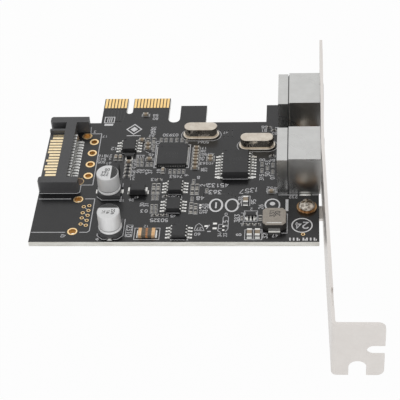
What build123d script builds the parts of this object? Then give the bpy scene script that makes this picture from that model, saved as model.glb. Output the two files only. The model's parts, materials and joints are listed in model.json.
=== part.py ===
from math import atan, degrees
import os

from build123d import *

os.makedirs("parts", exist_ok=True)

# All sizes in millimetres. Origin: key notch centre line, tongue tip, component surface.

# Circuit board
BOARD_THICK = 1.6
BOARD_LEFT = -22.58
BOARD_RIGHT = 57.25
BOARD_FRONT = -63.7
BOARD_BACK = -12.1
TONGUE_LEFT = -8.15
TONGUE_RIGHT = 12.15
TONGUE_BEVEL = 0.3
KEY_WIDTH = 1.9
KEY_DEPTH = 7.68
RELIEF_WIDTH = 3.5
RELIEF_DEPTH = 12.0
TAB_TOP = -4.03
TAB_A_RIGHT = 23.58
TAB_B_LEFT = 41.79

# Metal layers on the board
FOIL = 0.05
PLATING = 0.1

# Edge contacts
FINGER_PITCH = 1.0
FINGER_WIDTH = 0.7
FINGER_FIRST = 1.5
FINGER_TIP = -0.35
FINGER_ROOT = -4.9
FINGERS_LEFT = 7
FINGERS_RIGHT = 11

# Slot bracket
SHEET = 0.86
PLATE_INNER_X = 57.84
PLATE_LOW = -3.9
PLATE_HIGH = 14.5
PLATE_KINK_Y = -38.0
PLATE_FLARE = 1.95
PLATE_SHOULDER = 4.6
SHOULDER_RUN = 1.2
PLATE_TIP = 14.0
TIP_LOW = 1.1
TIP_HIGH = 11.3
TIP_CHAMFER = 0.3
TAB_PLANE = -106.9
TAB_REACH = 12.1
BEND_RADIUS = 0.5
TAB_CORNER = 1.9
NOTCH_START = 3.35
NOTCH_WIDTH = 4.4
NOTCH_DEPTH = 5.2
SLOT_LOW = 3.4
SLOT_HEIGHT = 3.5
SLOT_LENGTH = 4.45
EDGE_NOTCH_Y = -97.7
EDGE_NOTCH_LENGTH = 6.2
EDGE_NOTCH_DEPTH = 1.0
EDGE_NOTCH_INTO = 0.48
EAR_WIDTH = 5.2
EAR_REACH = 7.44
EAR_CORNER = 1.0
EAR_ROOT = 0.6

# Bracket screws
SCREW_X = 53.86
SCREW_YS = (-50.3, -24.8)
SCREW_RADIUS = 1.45
SCREW_HEAD_RADIUS = 2.8
SCREW_HEAD_HEIGHT = 2.6
SCREW_FLANGE = 0.6
SCREW_DOME_RADIUS = 2.35
SCREW_TIP = 1.0
SCREW_CROSS_WIDTH = 0.75
SCREW_CROSS_LENGTH = 3.0
SCREW_CROSS_DEPTH = 1.1
SCREW_BOARD_CLEARANCE = 0.2
SCREW_EAR_CLEARANCE = 0.03

# Round jacks
JACK_YS = (-37.3, -12.3)
JACK_BACK = 45.6
JACK_WIDTH = 14.2
JACK_HEIGHT = 12.9
JACK_SHEET = 0.35
JACK_COVER_DEPTH = 2.9
JACK_COVER_DROP = 0.4
JACK_SEAM = 0.3
JACK_PLATE_GAP = 0.1
JACK_FIT = 0.05
JACK_AXIS_Z = 6.6
JACK_COLLAR_RADIUS = 6.2
JACK_COLLAR_THICK = 0.35
JACK_COLLAR_LENGTH = 1.1
JACK_OPENING_CLEARANCE = 0.2
JACK_CORE_RADIUS = 4.2
JACK_GROOVE_RADIUS = 4.95
JACK_GROOVE_DEPTH = 7.0
JACK_KEY_WIDTH = 2.4
JACK_KEY_HEIGHT = 1.5
JACK_SLEEVE_RADIUS = 0.6
JACK_BORE_RADIUS = 0.4
JACK_BORE_DEPTH = 5.5
JACK_PIN_HOLE_RADIUS = 0.7
JACK_SLEEVE_SETBACK = 1.0
JACK_TAIL_RADIUS = 0.35
JACK_PINS = ((2.35, 2.3, 1.7), (3.4, -0.2, 4.1), (1.3, -2.9, 6.5))
JACK_LEG_BACK = 7.85
JACK_LEG_WIDTH = 1.2
TAIL_LENGTH = 0.9

# Power plug
PLUG_HEIGHT = 4.0
PLUG_WALL_LEFT = -17.65
PLUG_WALL_RIGHT = -14.6
PLUG_BACK_EDGE = -13.95
PLUG_FRONT_EDGE = -43.55
PLUG_BAR = 2.55
PLUG_BAR_RIGHT = -11.1
PLUG_BAR_CHAMFER = 0.5
PLUG_BLADE_LOW = 1.6
PLUG_BLADE_THICK = 1.2
PLUG_BLADE_TIP = 0.4
PLUG_BLADE_BACK = -19.5
PLUG_BLADE_FRONT = -39.8
PLUG_KEY_WIDTH = 0.9
PLUG_PEG_RADIUS = 0.75
PLUG_PEG_LENGTH = 1.3
PLUG_PEG_X = -13.3
PLUG_PEG_CLEARANCE = 0.05
PLUG_CONTACTS = 15
PLUG_PITCH = 1.27
PLUG_FIRST_Y = -21.3
PLUG_STRIP_WIDTH = 0.84
PLUG_STRIP_THICK = 0.2
PLUG_STRIP_PROUD = 0.05
PLUG_LONG_TIP = 0.5
PLUG_SHORT_TIP = 1.05
PLUG_LONG_CONTACTS = (2, 3, 4, 5, 6, 9, 11, 12)
PLUG_TAIL_BEND = -13.9
PLUG_TAIL_END = -12.5

# Plated holes of the unfitted sockets: x, y, ring radius, bore radius
HEADER_X = -9.23
HEADER_FIRST_Y = -21.06
HEADER_PITCH = 5.08
HEADER_HOLES = 4
HEADER_RING = 1.35
HEADER_BORE = 0.875
LOCATOR_HOLES = ((-11.7, -18.3), (-11.7, -38.8))
LOCATOR_RING = 1.5
LOCATOR_BORE = 1.0
SHELL_HOLES = ((-10.82, -46.45), (-10.82, -59.59))
SHELL_RING = 1.4
SHELL_BORE = 1.03
PORT_HOLES = ((-7.34, -49.05), (-7.34, -51.05), (-7.34, -53.05), (-7.34, -55.1), (-7.34, -57.1),
              (-8.87, -49.5), (-8.87, -52.0), (-8.87, -54.1), (-8.87, -56.6), (52.83, -60.75))
PORT_RING = 0.55
PORT_BORE = 0.35

# Can capacitors: centre and the turn of their leads
CAPACITORS = ((-2.15, -43.09, 180), (-0.13, -59.08, 270))
CAP_RADIUS = 3.15
CAP_TOP = 7.4
CAP_BASE = 6.6
CAP_BASE_TOP = 1.3
CAP_BASE_CORNER = 1.3
CAP_CAN_SEAT = 0.6
CAP_GROOVE_Z = 2.0
CAP_GROOVE = 0.25
CAP_EDGE = 0.5
CAP_LEAD_WIDTH = 0.7
CAP_LEAD_THICK = 0.15
CAP_LEAD_INNER = 1.0
CAP_LEAD_OUTER = 3.7

# Crystals
CRYSTALS = ((22.6, -18.1), (39.4, -23.2))
CRYSTAL_LENGTH = 9.75
CRYSTAL_WIDTH = 3.55
CRYSTAL_TOP = 3.6
CRYSTAL_RIM = 0.5
CRYSTAL_BASE_LOW = 0.12
CRYSTAL_BASE_THICK = 0.5
CRYSTAL_EDGE = 0.35
CRYSTAL_RIM_EDGE = 0.2
CRYSTAL_LEAD_SPACING = 4.88
CRYSTAL_LEAD_RADIUS = 0.22

# Joints of wired parts
JOINT_FILL = 0.2
JOINT_FLANGE = 0.45
JOINT_HEIGHT = 0.6

# Flat controller chip
FLAT_CENTRE = (14.66, -27.7)
FLAT_SIZE = (8.7, 8.7)
FLAT_TOP = 0.9
FLAT_PAD_PITCH = 0.5
FLAT_PADS = 16
FLAT_PAD_WIDTH = 0.26
FLAT_PAD_OUT = 0.4
FLAT_PAD_IN = 0.4
FLAT_PLATE = 6.2

# Moulded parts with bent leads
LEAD_THICK = 0.2
BODY_LIFT = 0.15
BODY_TAPER = 8
DIMPLE_RADIUS = 0.3
DIMPLE_DEPTH = 0.08
WIDE_CHIP = dict(x=33.45, y=-32.75, width=7.5, length=10.3, top=2.5, reach=5.2, turn=0,
                 leads=8, pitch=1.27, wide=0.42, foot=0.6, pad_in=4.3, pad_out=5.9)
SMALL_CHIP = dict(width=3.9, length=4.9, top=1.55, reach=3.0, turn=0, leads=4, pitch=1.27,
                  wide=0.42, foot=0.5, pad_in=2.35, pad_out=3.7)
SMALL_CHIPS = ((1.6, -23.6), (16.5, -41.7), (16.55, -49.5), (18.85, -60.2))
TRANSISTOR = dict(x=2.0, y=-27.9, width=1.3, length=2.9, top=1.05, reach=1.2, turn=90,
                  leads=3, pitch=0.95, wide=0.4, foot=0.3, pad_in=0.85, pad_out=1.6)
REGULATOR = dict(x=38.4, y=-53.4, width=1.6, length=2.9, top=1.15, reach=1.45, turn=90,
                 leads=3, pitch=0.95, wide=0.42, foot=0.35, pad_in=1.0, pad_out=1.9)

# Diodes: centre and turn
DIODES = ((6.05, -43.5, 0), (-1.6, -35.2, 90))
DIODE_LENGTH = 4.3
DIODE_WIDTH = 2.6
DIODE_TOP = 2.25
DIODE_SPAN = 5.5
DIODE_LEAD_WIDTH = 1.5
DIODE_LEAD_TOP = 1.25
DIODE_LEAD_UNDER = 1.3

# Power inductor
INDUCTOR = (45.0, -56.4)
INDUCTOR_SIDE = 6.4
INDUCTOR_TOP = 3.0
INDUCTOR_CORNER = 0.9
INDUCTOR_EDGE = 0.3
INDUCTOR_LEAD_WIDTH = 3.2
INDUCTOR_LEAD_TOP = 1.2
INDUCTOR_LEAD_UNDER = 1.6

# Fuse and large chip capacitors: length along the turn, width, height, end length
FUSE = (10.05, -60.7, 0)
FUSE_SIZE = (4.6, 3.0, 1.0, 0.9)
BULK_SIZE = (2.5, 1.35, 1.25, 0.5)
BULK_PARTS = ((36.8, -47.75, 90), (38.25, -61.0, 90), (40.45, -61.0, 90))

# Small chip parts
CHIP_SIZE = (1.6, 0.8, 0.75, 0.35)
TINY_SIZE = (1.0, 0.5, 0.4, 0.25)
CHIP_STEP_DOWN = 0.03
PAD_GROW = 0.25
CHIP_CAPACITORS = ((5.15, -8.5, 0), (5.1, -20.5, 0), (7.1, -22.5, 0), (7.15, -24.2, 0),
                   (21.6, -24.25, 0), (21.6, -25.85, 0), (21.6, -27.2, 0),
                   (21.6, -28.5, 0), (21.6, -29.8, 0), (21.6, -31.4, 0), (21.6, -33.1, 0),
                   (25.9, -28.3, 0), (25.9, -29.6, 0), (8.0, -29.2, 0), (12.4, -34.3, 90),
                   (-1.9, -28.5, 90), (-0.6, -28.5, 90), (2.1, -30.4, 0), (43.9, -43.5, 0))
CHIP_RESISTORS = ((2.1, -32.0, 0), (2.1, -33.5, 0), (2.1, -35.0, 0), (2.1, -36.7, 0),
                  (10.35, -40.9, 90), (11.65, -40.9, 90), (10.4, -43.3, 90), (11.7, -43.3, 90),
                  (21.5, -41.2, 90), (22.75, -41.2, 90), (21.5, -43.5, 90), (22.75, -43.5, 90),
                  (21.6, -49.0, 90), (22.85, -49.4, 90), (21.6, -51.4, 90), (22.9, -51.6, 90),
                  (41.05, -54.3, 90), (6.9, -20.6, 90), (8.6, -20.6, 90))
TINY_RESISTORS = ((4.6, -29.4, 90), (5.8, -29.4, 90), (4.8, -31.4, 90), (6.0, -31.4, 90),
                  (7.6, -31.4, 90), (8.8, -31.4, 90), (8.9, -23.0, 90), (8.9, -24.8, 90),
                  (10.8, -20.4, 90), (12.2, -20.4, 90), (13.8, -20.4, 90), (15.4, -20.4, 90),
                  (17.0, -20.4, 90), (18.4, -20.95, 90), (14.5, -34.6, 90), (15.8, -34.6, 90),
                  (17.1, -34.6, 90), (18.4, -34.6, 90), (11.6, -38.2, 0), (10.5, -45.9, 90),
                  (11.65, -45.9, 90), (14.0, -45.4, 0), (10.5, -49.5, 90), (11.6, -49.5, 90),
                  (10.6, -51.4, 90), (11.75, -51.4, 90), (11.5, -53.2, 0), (13.0, -53.2, 0),
                  (14.5, -53.2, 0), (21.6, -38.9, 90), (25.6, -43.0, 90), (21.6, -46.4, 90),
                  (36.9, -57.0, 0), (38.6, -57.0, 0), (40.3, -57.0, 0), (41.0, -31.6, 90),
                  (41.0, -34.4, 90), (42.6, -33.2, 90), (44.1, -32.0, 90), (44.1, -35.0, 90),
                  (42.6, -14.9, 0), (44.2, -16.3, 0), (43.9, -28.0, 0), (36.0, -54.4, 90))
BARE_PADS = ((28.6, -56.5, 1.1, 0.7), (28.6, -58.4, 1.1, 0.7), (26.2, -57.5, 0.9, 0.7),
             (24.1, -48.9, 0.5, 0.6), (24.1, -50.1, 0.5, 0.6), (31.0, -57.6, 0.6, 0.6),
             (31.0, -59.1, 0.6, 0.6))

board_low = -BOARD_THICK
plate_outer_x = PLATE_INNER_X + SHEET
jack_front = PLATE_INNER_X - JACK_PLATE_GAP
tab_inner_x = PLATE_INNER_X + PLATE_FLARE
tab_outer_x = tab_inner_x + SHEET + TAB_REACH
tail_low = board_low - TAIL_LENGTH


def block(x0, x1, y0, y1, z0, z1):
    """Box between two corners."""
    centre = Pos((x0 + x1) / 2, (y0 + y1) / 2, (z0 + z1) / 2)
    return centre * Box(x1 - x0, y1 - y0, z1 - z0)


def disc(x, y, z0, z1, radius):
    """Upright cylinder."""
    return Pos(x, y, (z0 + z1) / 2) * Cylinder(radius, z1 - z0)


def rod(x0, x1, y, z, radius):
    """Cylinder along X."""
    return Pos((x0 + x1) / 2, y, z) * Rot(0, 90, 0) * Cylinder(radius, x1 - x0)


def capsule(x, y, length, width, z0, z1):
    """Upright slab with two round ends."""
    return Pos(x, y, z0) * extrude(SlotOverall(length, width), amount=z1 - z0)


def save(name, *solids):
    """Write one node, a group when it has several solids."""
    shape = solids[0] if len(solids) == 1 else Compound(children=list(solids))
    export_step(shape, f"parts/{name}.step")


def place(x, y, turn):
    """Position on the board turned about Z."""
    return Pos(x, y, 0) * Rot(0, 0, turn)


def row(count, pitch):
    """Offsets of a centred row."""
    return [(i - (count - 1) / 2) * pitch for i in range(count)]


def edge_contacts(z0, z1):
    """Row of gold fingers between two heights."""
    left = [-FINGER_FIRST - i * FINGER_PITCH for i in range(FINGERS_LEFT)]
    right = [FINGER_FIRST + i * FINGER_PITCH for i in range(FINGERS_RIGHT)]
    half = FINGER_WIDTH / 2
    return [block(x - half, x + half, FINGER_ROOT, FINGER_TIP, z0, z1) for x in left + right]


def eyelet(x, y, ring, bore):
    """Plated barrel with a ring on each surface."""
    barrel = disc(x, y, board_low, 0, bore + PLATING)
    rings = disc(x, y, 0, FOIL, ring) + disc(x, y, board_low - FOIL, board_low, ring)
    return barrel + rings - disc(x, y, board_low - 1, 1, bore)


def strip_lead(half_body, reach, z_mid, foot, wide):
    """Bent flat lead that leaves a body along +X and ends in a foot."""
    half = LEAD_THICK / 2
    heel = reach - foot
    knee = (half_body + heel) / 2
    back = 0.7 * LEAD_THICK
    start = half_body - 0.35
    outline = Polyline(
        (start, z_mid + half), (knee, z_mid + half), (heel, FOIL + LEAD_THICK),
        (reach, FOIL + LEAD_THICK), (reach, FOIL), (heel - back, FOIL),
        (knee - back, z_mid - half), (start, z_mid - half), close=True)
    return extrude(Plane.XZ * make_face(outline), amount=wide / 2, both=True)


def moulded_body(width, length, low, top, z_mid):
    """Body that narrows above and below its lead plane."""
    face = Plane.XY.offset(z_mid) * Rectangle(width, length)
    upper = extrude(face, amount=top - z_mid, taper=BODY_TAPER)
    lower = extrude(face, amount=low - z_mid, taper=BODY_TAPER)
    return upper + lower


def leaded_part(spec, x, y, one_lead_back=False):
    """Body, leads and pads of a moulded part with two rows of bent leads."""
    low = FOIL + BODY_LIFT
    z_mid = (low + spec["top"]) / 2
    half = spec["width"] / 2
    lead = strip_lead(half, spec["reach"], z_mid, spec["foot"], spec["wide"])
    seat = place(x, y, spec["turn"])
    pad_half = spec["wide"] / 2 + 0.08
    leads, pads = [], []
    for side in (0, 180):
        offsets = row(spec["leads"], spec["pitch"])
        if one_lead_back:
            offsets = [0] if side == 0 else [offsets[0], offsets[-1]]
        for offset in offsets:
            spot = seat * Rot(0, 0, side) * Pos(0, offset, 0)
            leads.append(spot * lead)
            pads.append(spot * block(spec["pad_in"], spec["pad_out"], -pad_half, pad_half, 0, FOIL))
    body = seat * moulded_body(spec["width"], spec["length"], low, spec["top"], z_mid)
    mark = seat * disc(-half + 0.75, spec["length"] / 2 - 0.75, spec["top"] - DIMPLE_DEPTH,
                       spec["top"] + 1, DIMPLE_RADIUS)
    if spec["leads"] > 3:
        body = body - mark
    for lead_solid in leads:
        body = body - lead_solid
    return body, leads, pads


def chip_part(x, y, turn, size):
    """Middle, two ends and two pads of a chip part lying along its turn."""
    length, width, height, end = size
    seat = place(x, y, turn)
    half = length / 2
    side = width / 2
    inner = side - CHIP_STEP_DOWN
    top = FOIL + height
    middle = seat * block(-half + end, half - end, -inner, inner, FOIL + CHIP_STEP_DOWN,
                          top - CHIP_STEP_DOWN)
    ends, pads = [], []
    for sign in (0, 180):
        spot = seat * Rot(0, 0, sign)
        ends.append(spot * block(half - end, half, -side, side, FOIL, top))
        pads.append(spot * block(half - end - 0.1, half + PAD_GROW, -side, side, 0, FOIL))
    return middle, ends, pads


def solder_joint(x, y, hole, lead):
    """Fill of a board hole and the cone on the lower side, pierced by the lead."""
    fill = disc(x, y, board_low, 0, hole)
    cone = Pos(x, y, board_low - JOINT_HEIGHT / 2) * Cone(0.55 * hole, hole + JOINT_FLANGE, JOINT_HEIGHT)
    return fill + cone - lead


def jack(y):
    """Shield, back cover, insert, contacts, and the board cuts and joints of one jack."""
    half = JACK_WIDTH / 2
    cover_end = JACK_BACK + JACK_COVER_DEPTH
    shield_back = cover_end + JACK_SEAM
    inside = half - JACK_SHEET
    roof = JACK_HEIGHT - JACK_SHEET
    cover_top = JACK_HEIGHT - JACK_COVER_DROP
    collar_end = jack_front + JACK_COLLAR_LENGTH
    ring_inner = JACK_COLLAR_RADIUS - JACK_COLLAR_THICK

    cover = block(JACK_BACK, cover_end, y - half, y + half, 0, cover_top)
    cover -= block(JACK_BACK + JACK_SHEET, cover_end, y - inside, y + inside, 0,
                   cover_top - JACK_SHEET)

    shield = block(shield_back, jack_front, y - half, y + half, 0, JACK_HEIGHT)
    shield -= block(shield_back, jack_front - JACK_SHEET, y - inside, y + inside, 0, roof)
    shield += rod(jack_front - JACK_SHEET, collar_end, y, JACK_AXIS_Z, JACK_COLLAR_RADIUS)
    shield -= rod(jack_front - JACK_SHEET, collar_end, y, JACK_AXIS_Z, ring_inner)

    body_back = JACK_BACK + JACK_SHEET + JACK_FIT
    body_front = jack_front - JACK_SHEET - JACK_FIT
    side = inside - JACK_FIT
    step_x = cover_end + JACK_SEAM / 2
    insert = block(body_back, step_x, y - side, y + side, 0, cover_top - JACK_SHEET - JACK_FIT)
    insert += block(step_x, body_front, y - side, y + side, 0, roof - JACK_FIT)
    face_x = collar_end - JACK_FIT
    insert += rod(body_front, face_x, y, JACK_AXIS_Z, ring_inner - JACK_FIT)
    groove_back = face_x - JACK_GROOVE_DEPTH
    insert -= (rod(groove_back, face_x, y, JACK_AXIS_Z, JACK_GROOVE_RADIUS)
               - rod(groove_back, face_x, y, JACK_AXIS_Z, JACK_CORE_RADIUS))
    key_half = JACK_KEY_WIDTH / 2
    insert -= block(groove_back, face_x, y - key_half, y + key_half, JACK_AXIS_Z + 0.2,
                    JACK_AXIS_Z + 0.2 + JACK_KEY_HEIGHT)

    contacts, holes, joints = [], [], []
    sleeve_front = face_x - JACK_SLEEVE_SETBACK
    for offset_y, offset_z, tail_in in JACK_PINS:
        for sign in (-1, 1):
            pin_y = y + sign * offset_y
            pin_z = JACK_AXIS_Z + offset_z
            tail_x = JACK_BACK + tail_in
            sleeve = rod(tail_x - JACK_TAIL_RADIUS, sleeve_front, pin_y, pin_z, JACK_SLEEVE_RADIUS)
            tail = disc(tail_x, pin_y, tail_low, pin_z, JACK_TAIL_RADIUS)
            cavity = sleeve + tail
            contact = cavity - rod(sleeve_front - JACK_BORE_DEPTH, sleeve_front + 1, pin_y, pin_z,
                                   JACK_BORE_RADIUS)
            insert -= cavity
            insert -= rod(sleeve_front, face_x, pin_y, pin_z, JACK_PIN_HOLE_RADIUS)
            contacts.append(contact)
            hole = JACK_TAIL_RADIUS + JOINT_FILL
            holes.append(disc(tail_x, pin_y, board_low - 1, 1, hole))
            joints.append(solder_joint(tail_x, pin_y, hole, tail))
    for sign in (-1, 1):
        leg_y = y + sign * (half - JACK_SHEET / 2)
        leg_x = JACK_BACK + JACK_LEG_BACK
        leg = block(leg_x - JACK_LEG_WIDTH / 2, leg_x + JACK_LEG_WIDTH / 2,
                    leg_y - JACK_SHEET / 2, leg_y + JACK_SHEET / 2, tail_low, 1)
        shield += leg
        hole = JACK_LEG_WIDTH / 2 + JOINT_FILL
        holes.append(disc(leg_x, leg_y, board_low - 1, 1, hole))
        joints.append(solder_joint(leg_x, leg_y, hole, leg))
    return shield, cover, insert, contacts, holes, joints


def plug_contact(index):
    """One strip on the blade with its solder tail."""
    y = PLUG_FIRST_Y - index * PLUG_PITCH
    blade_top = PLUG_BLADE_LOW + PLUG_BLADE_THICK
    high = blade_top + PLUG_STRIP_PROUD
    low = high - PLUG_STRIP_THICK
    setback = PLUG_LONG_TIP if index in PLUG_LONG_CONTACTS else PLUG_SHORT_TIP
    tip = BOARD_LEFT + PLUG_BLADE_TIP + setback
    foot_top = FOIL + PLUG_STRIP_THICK
    back = 0.8 * PLUG_STRIP_THICK
    outline = Polyline(
        (tip, high), (PLUG_TAIL_BEND, high), (PLUG_TAIL_BEND + 0.3, foot_top),
        (PLUG_TAIL_END, foot_top), (PLUG_TAIL_END, FOIL), (PLUG_TAIL_BEND + 0.3 - back, FOIL),
        (PLUG_TAIL_BEND - back, low), (tip, low), close=True)
    strip = extrude(Plane.XZ * make_face(outline), amount=PLUG_STRIP_WIDTH / 2, both=True)
    pad_half = PLUG_STRIP_WIDTH / 2
    pad = block(PLUG_TAIL_BEND + 0.1, PLUG_TAIL_END + 0.3, y - pad_half, y + pad_half, 0, FOIL)
    return Pos(0, y, 0) * strip, pad


def capacitor(x, y, turn):
    """Can, base and leads of one can capacitor, with its pads."""
    low = FOIL + CAP_LEAD_THICK
    half = CAP_BASE / 2
    seat = place(x, y, turn)
    base = block(-half, half, -half, half, low, CAP_BASE_TOP)
    cut_edges = base.edges().filter_by(Axis.Z).sort_by(Axis.X)[-2:]
    base = chamfer(cut_edges, CAP_BASE_CORNER)
    base -= disc(0, 0, low + CAP_CAN_SEAT, CAP_BASE_TOP + 1, CAP_RADIUS)
    can = disc(0, 0, low + CAP_CAN_SEAT, CAP_TOP, CAP_RADIUS)
    can = fillet(can.edges().sort_by(Axis.Z)[-1], CAP_EDGE)
    ring = disc(0, 0, CAP_GROOVE_Z, CAP_GROOVE_Z + 2 * CAP_GROOVE, CAP_RADIUS + 1)
    ring -= disc(0, 0, CAP_GROOVE_Z, CAP_GROOVE_Z + 2 * CAP_GROOVE, CAP_RADIUS - CAP_GROOVE)
    can -= ring
    side = CAP_LEAD_WIDTH / 2
    leads, pads = [], []
    for sign in (0, 180):
        spot = seat * Rot(0, 0, sign)
        leads.append(spot * block(CAP_LEAD_INNER, CAP_LEAD_OUTER, -side, side, FOIL, low))
        pads.append(spot * block(CAP_LEAD_INNER, CAP_LEAD_OUTER + PAD_GROW, -0.8, 0.8, 0, FOIL))
    return seat * can, seat * base, leads, pads


def crystal(x, y):
    """Can and wired base of one crystal, with its board holes and joints."""
    base_top = CRYSTAL_BASE_LOW + CRYSTAL_BASE_THICK
    base = capsule(x, y, CRYSTAL_LENGTH + 2 * CRYSTAL_RIM, CRYSTAL_WIDTH + 2 * CRYSTAL_RIM,
                   CRYSTAL_BASE_LOW, base_top)
    base = fillet(base.edges().group_by(Axis.Z)[-1], CRYSTAL_RIM_EDGE)
    can = capsule(x, y, CRYSTAL_LENGTH, CRYSTAL_WIDTH, base_top, CRYSTAL_TOP)
    can = fillet(can.edges().group_by(Axis.Z)[-1], CRYSTAL_EDGE)
    holes, joints = [], []
    for sign in (-1, 1):
        lead_x = x + sign * CRYSTAL_LEAD_SPACING / 2
        lead = disc(lead_x, y, tail_low, CRYSTAL_BASE_LOW + 0.1, CRYSTAL_LEAD_RADIUS)
        base += lead
        hole = CRYSTAL_LEAD_RADIUS + JOINT_FILL
        holes.append(disc(lead_x, y, board_low - 1, 1, hole))
        joints.append(solder_joint(lead_x, y, hole, lead))
    return can, base, holes, joints


def diode(x, y, turn):
    """Body and folded terminals of one diode, with its pads."""
    low = FOIL + LEAD_THICK
    seat = place(x, y, turn)
    half = DIODE_LENGTH / 2
    side = DIODE_WIDTH / 2
    body = block(-half, half, -side, side, low, DIODE_TOP)
    body = chamfer(body.edges().group_by(Axis.Z)[-1], 0.25)
    out = DIODE_SPAN / 2
    wide = DIODE_LEAD_WIDTH / 2
    under = half - DIODE_LEAD_UNDER
    terminal = block(under, out, -wide, wide, FOIL, low)
    terminal += block(out - LEAD_THICK, out, -wide, wide, FOIL, DIODE_LEAD_TOP)
    terminal += block(half, out, -wide, wide, DIODE_LEAD_TOP - LEAD_THICK, DIODE_LEAD_TOP)
    terminals, pads = [], []
    for sign in (0, 180):
        spot = seat * Rot(0, 0, sign)
        terminals.append(spot * terminal)
        pads.append(spot * block(under, out + PAD_GROW, -wide, wide, 0, FOIL))
    return seat * body, terminals, pads


# Board cuts are gathered while the parts that need them are made
board_holes = []
joints = []
pads = []

for spot_x, spot_y in SHELL_HOLES:
    board_holes.append(disc(spot_x, spot_y, board_low - 1, 1, SHELL_BORE + PLATING))
for spot_x, spot_y in LOCATOR_HOLES:
    board_holes.append(disc(spot_x, spot_y, board_low - 1, 1, LOCATOR_BORE + PLATING))
header_ys = [HEADER_FIRST_Y - i * HEADER_PITCH for i in range(HEADER_HOLES)]
for spot_y in header_ys:
    board_holes.append(disc(HEADER_X, spot_y, board_low - 1, 1, HEADER_BORE + PLATING))
for spot_x, spot_y in PORT_HOLES:
    board_holes.append(disc(spot_x, spot_y, board_low - 1, 1, PORT_BORE + PLATING))
for spot_y in SCREW_YS:
    board_holes.append(disc(SCREW_X, spot_y, board_low - 1, 1, SCREW_RADIUS + SCREW_BOARD_CLEARANCE))

# Eyelets
large = [eyelet(HEADER_X, y, HEADER_RING, HEADER_BORE) for y in header_ys]
large += [eyelet(x, y, LOCATOR_RING, LOCATOR_BORE) for x, y in LOCATOR_HOLES]
large += [eyelet(x, y, SHELL_RING, SHELL_BORE) for x, y in SHELL_HOLES]
save("large_plated_holes", *large)
save("small_plated_holes", *[eyelet(x, y, PORT_RING, PORT_BORE) for x, y in PORT_HOLES])

# Edge contacts
save("edge_contacts_component_side", *edge_contacts(0, FOIL))
save("edge_contacts_solder_side", *edge_contacts(board_low - FOIL, board_low))

# Jacks
for label, jack_y in zip(("front", "rear"), JACK_YS):
    shield, cover, insert, contacts, holes, jack_joints = jack(jack_y)
    save(f"{label}_jack_shield", shield)
    save(f"{label}_jack_back_cover", cover)
    save(f"{label}_jack_insert", insert)
    save(f"{label}_jack_contacts", *contacts)
    board_holes += holes
    joints += jack_joints

# Power plug
blade_tip = BOARD_LEFT + PLUG_BLADE_TIP
blade_top = PLUG_BLADE_LOW + PLUG_BLADE_THICK
housing = block(PLUG_WALL_LEFT, PLUG_WALL_RIGHT, PLUG_FRONT_EDGE, PLUG_BACK_EDGE, 0, PLUG_HEIGHT)
for bar_low in (PLUG_FRONT_EDGE, PLUG_BACK_EDGE - PLUG_BAR):
    bar = block(BOARD_LEFT, PLUG_BAR_RIGHT, bar_low, bar_low + PLUG_BAR, 0, PLUG_HEIGHT)
    housing += chamfer(bar.edges().filter_by(Axis.Z).sort_by(Axis.X)[:2], PLUG_BAR_CHAMFER)
    peg_y = bar_low + PLUG_BAR / 2
    housing += disc(PLUG_PEG_X, peg_y, -PLUG_PEG_LENGTH, 0, PLUG_PEG_RADIUS)
    board_holes.append(disc(PLUG_PEG_X, peg_y, board_low - 1, 1, PLUG_PEG_RADIUS + PLUG_PEG_CLEARANCE))
housing += block(blade_tip, PLUG_WALL_LEFT, PLUG_BLADE_FRONT, PLUG_BLADE_BACK, PLUG_BLADE_LOW, blade_top)
housing += block(blade_tip, PLUG_WALL_LEFT, PLUG_BLADE_BACK - PLUG_KEY_WIDTH, PLUG_BLADE_BACK,
                 blade_top, PLUG_HEIGHT)
plug_contacts = []
for contact_index in range(PLUG_CONTACTS):
    strip, strip_pad = plug_contact(contact_index)
    housing -= strip
    plug_contacts.append(strip)
    for spot_x, spot_y in LOCATOR_HOLES:
        strip_pad -= disc(spot_x, spot_y, -1, 1, LOCATOR_RING)
    pads.append(strip_pad)
save("power_plug_housing", housing)
save("power_plug_contacts", *plug_contacts)

# Can capacitors
for number, (cap_x, cap_y, cap_turn) in enumerate(CAPACITORS, 1):
    can, base, leads, cap_pads = capacitor(cap_x, cap_y, cap_turn)
    save(f"capacitor_{number}_can", can)
    save(f"capacitor_{number}_base", base)
    save(f"capacitor_{number}_leads", *leads)
    pads += cap_pads

# Crystals
for number, (crystal_x, crystal_y) in enumerate(CRYSTALS, 1):
    can, base, holes, crystal_joints = crystal(crystal_x, crystal_y)
    save(f"crystal_{number}_can", can)
    save(f"crystal_{number}_base", base)
    board_holes += holes
    joints += crystal_joints

# Flat controller chip
flat_x, flat_y = FLAT_CENTRE
flat_w, flat_l = FLAT_SIZE
flat = block(flat_x - flat_w / 2, flat_x + flat_w / 2, flat_y - flat_l / 2, flat_y + flat_l / 2,
             FOIL, FLAT_TOP)
flat -= disc(flat_x - flat_w / 2 + 1.1, flat_y + flat_l / 2 - 1.1, FLAT_TOP - DIMPLE_DEPTH,
             FLAT_TOP + 1, 0.4)
flat_pads = []
for turn, half in ((0, flat_w / 2), (90, flat_l / 2), (180, flat_w / 2), (270, flat_l / 2)):
    for offset in row(FLAT_PADS, FLAT_PAD_PITCH):
        land = block(half - FLAT_PAD_IN, half + FLAT_PAD_OUT, offset - FLAT_PAD_WIDTH / 2,
                     offset + FLAT_PAD_WIDTH / 2, 0, FOIL)
        flat_pads.append(place(flat_x, flat_y, turn) * land)
plate_half = FLAT_PLATE / 2
flat_pads.append(block(flat_x - plate_half, flat_x + plate_half, flat_y - plate_half,
                       flat_y + plate_half, 0, FOIL))
save("controller_chip_body", flat)
save("controller_chip_pads", *flat_pads)

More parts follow.
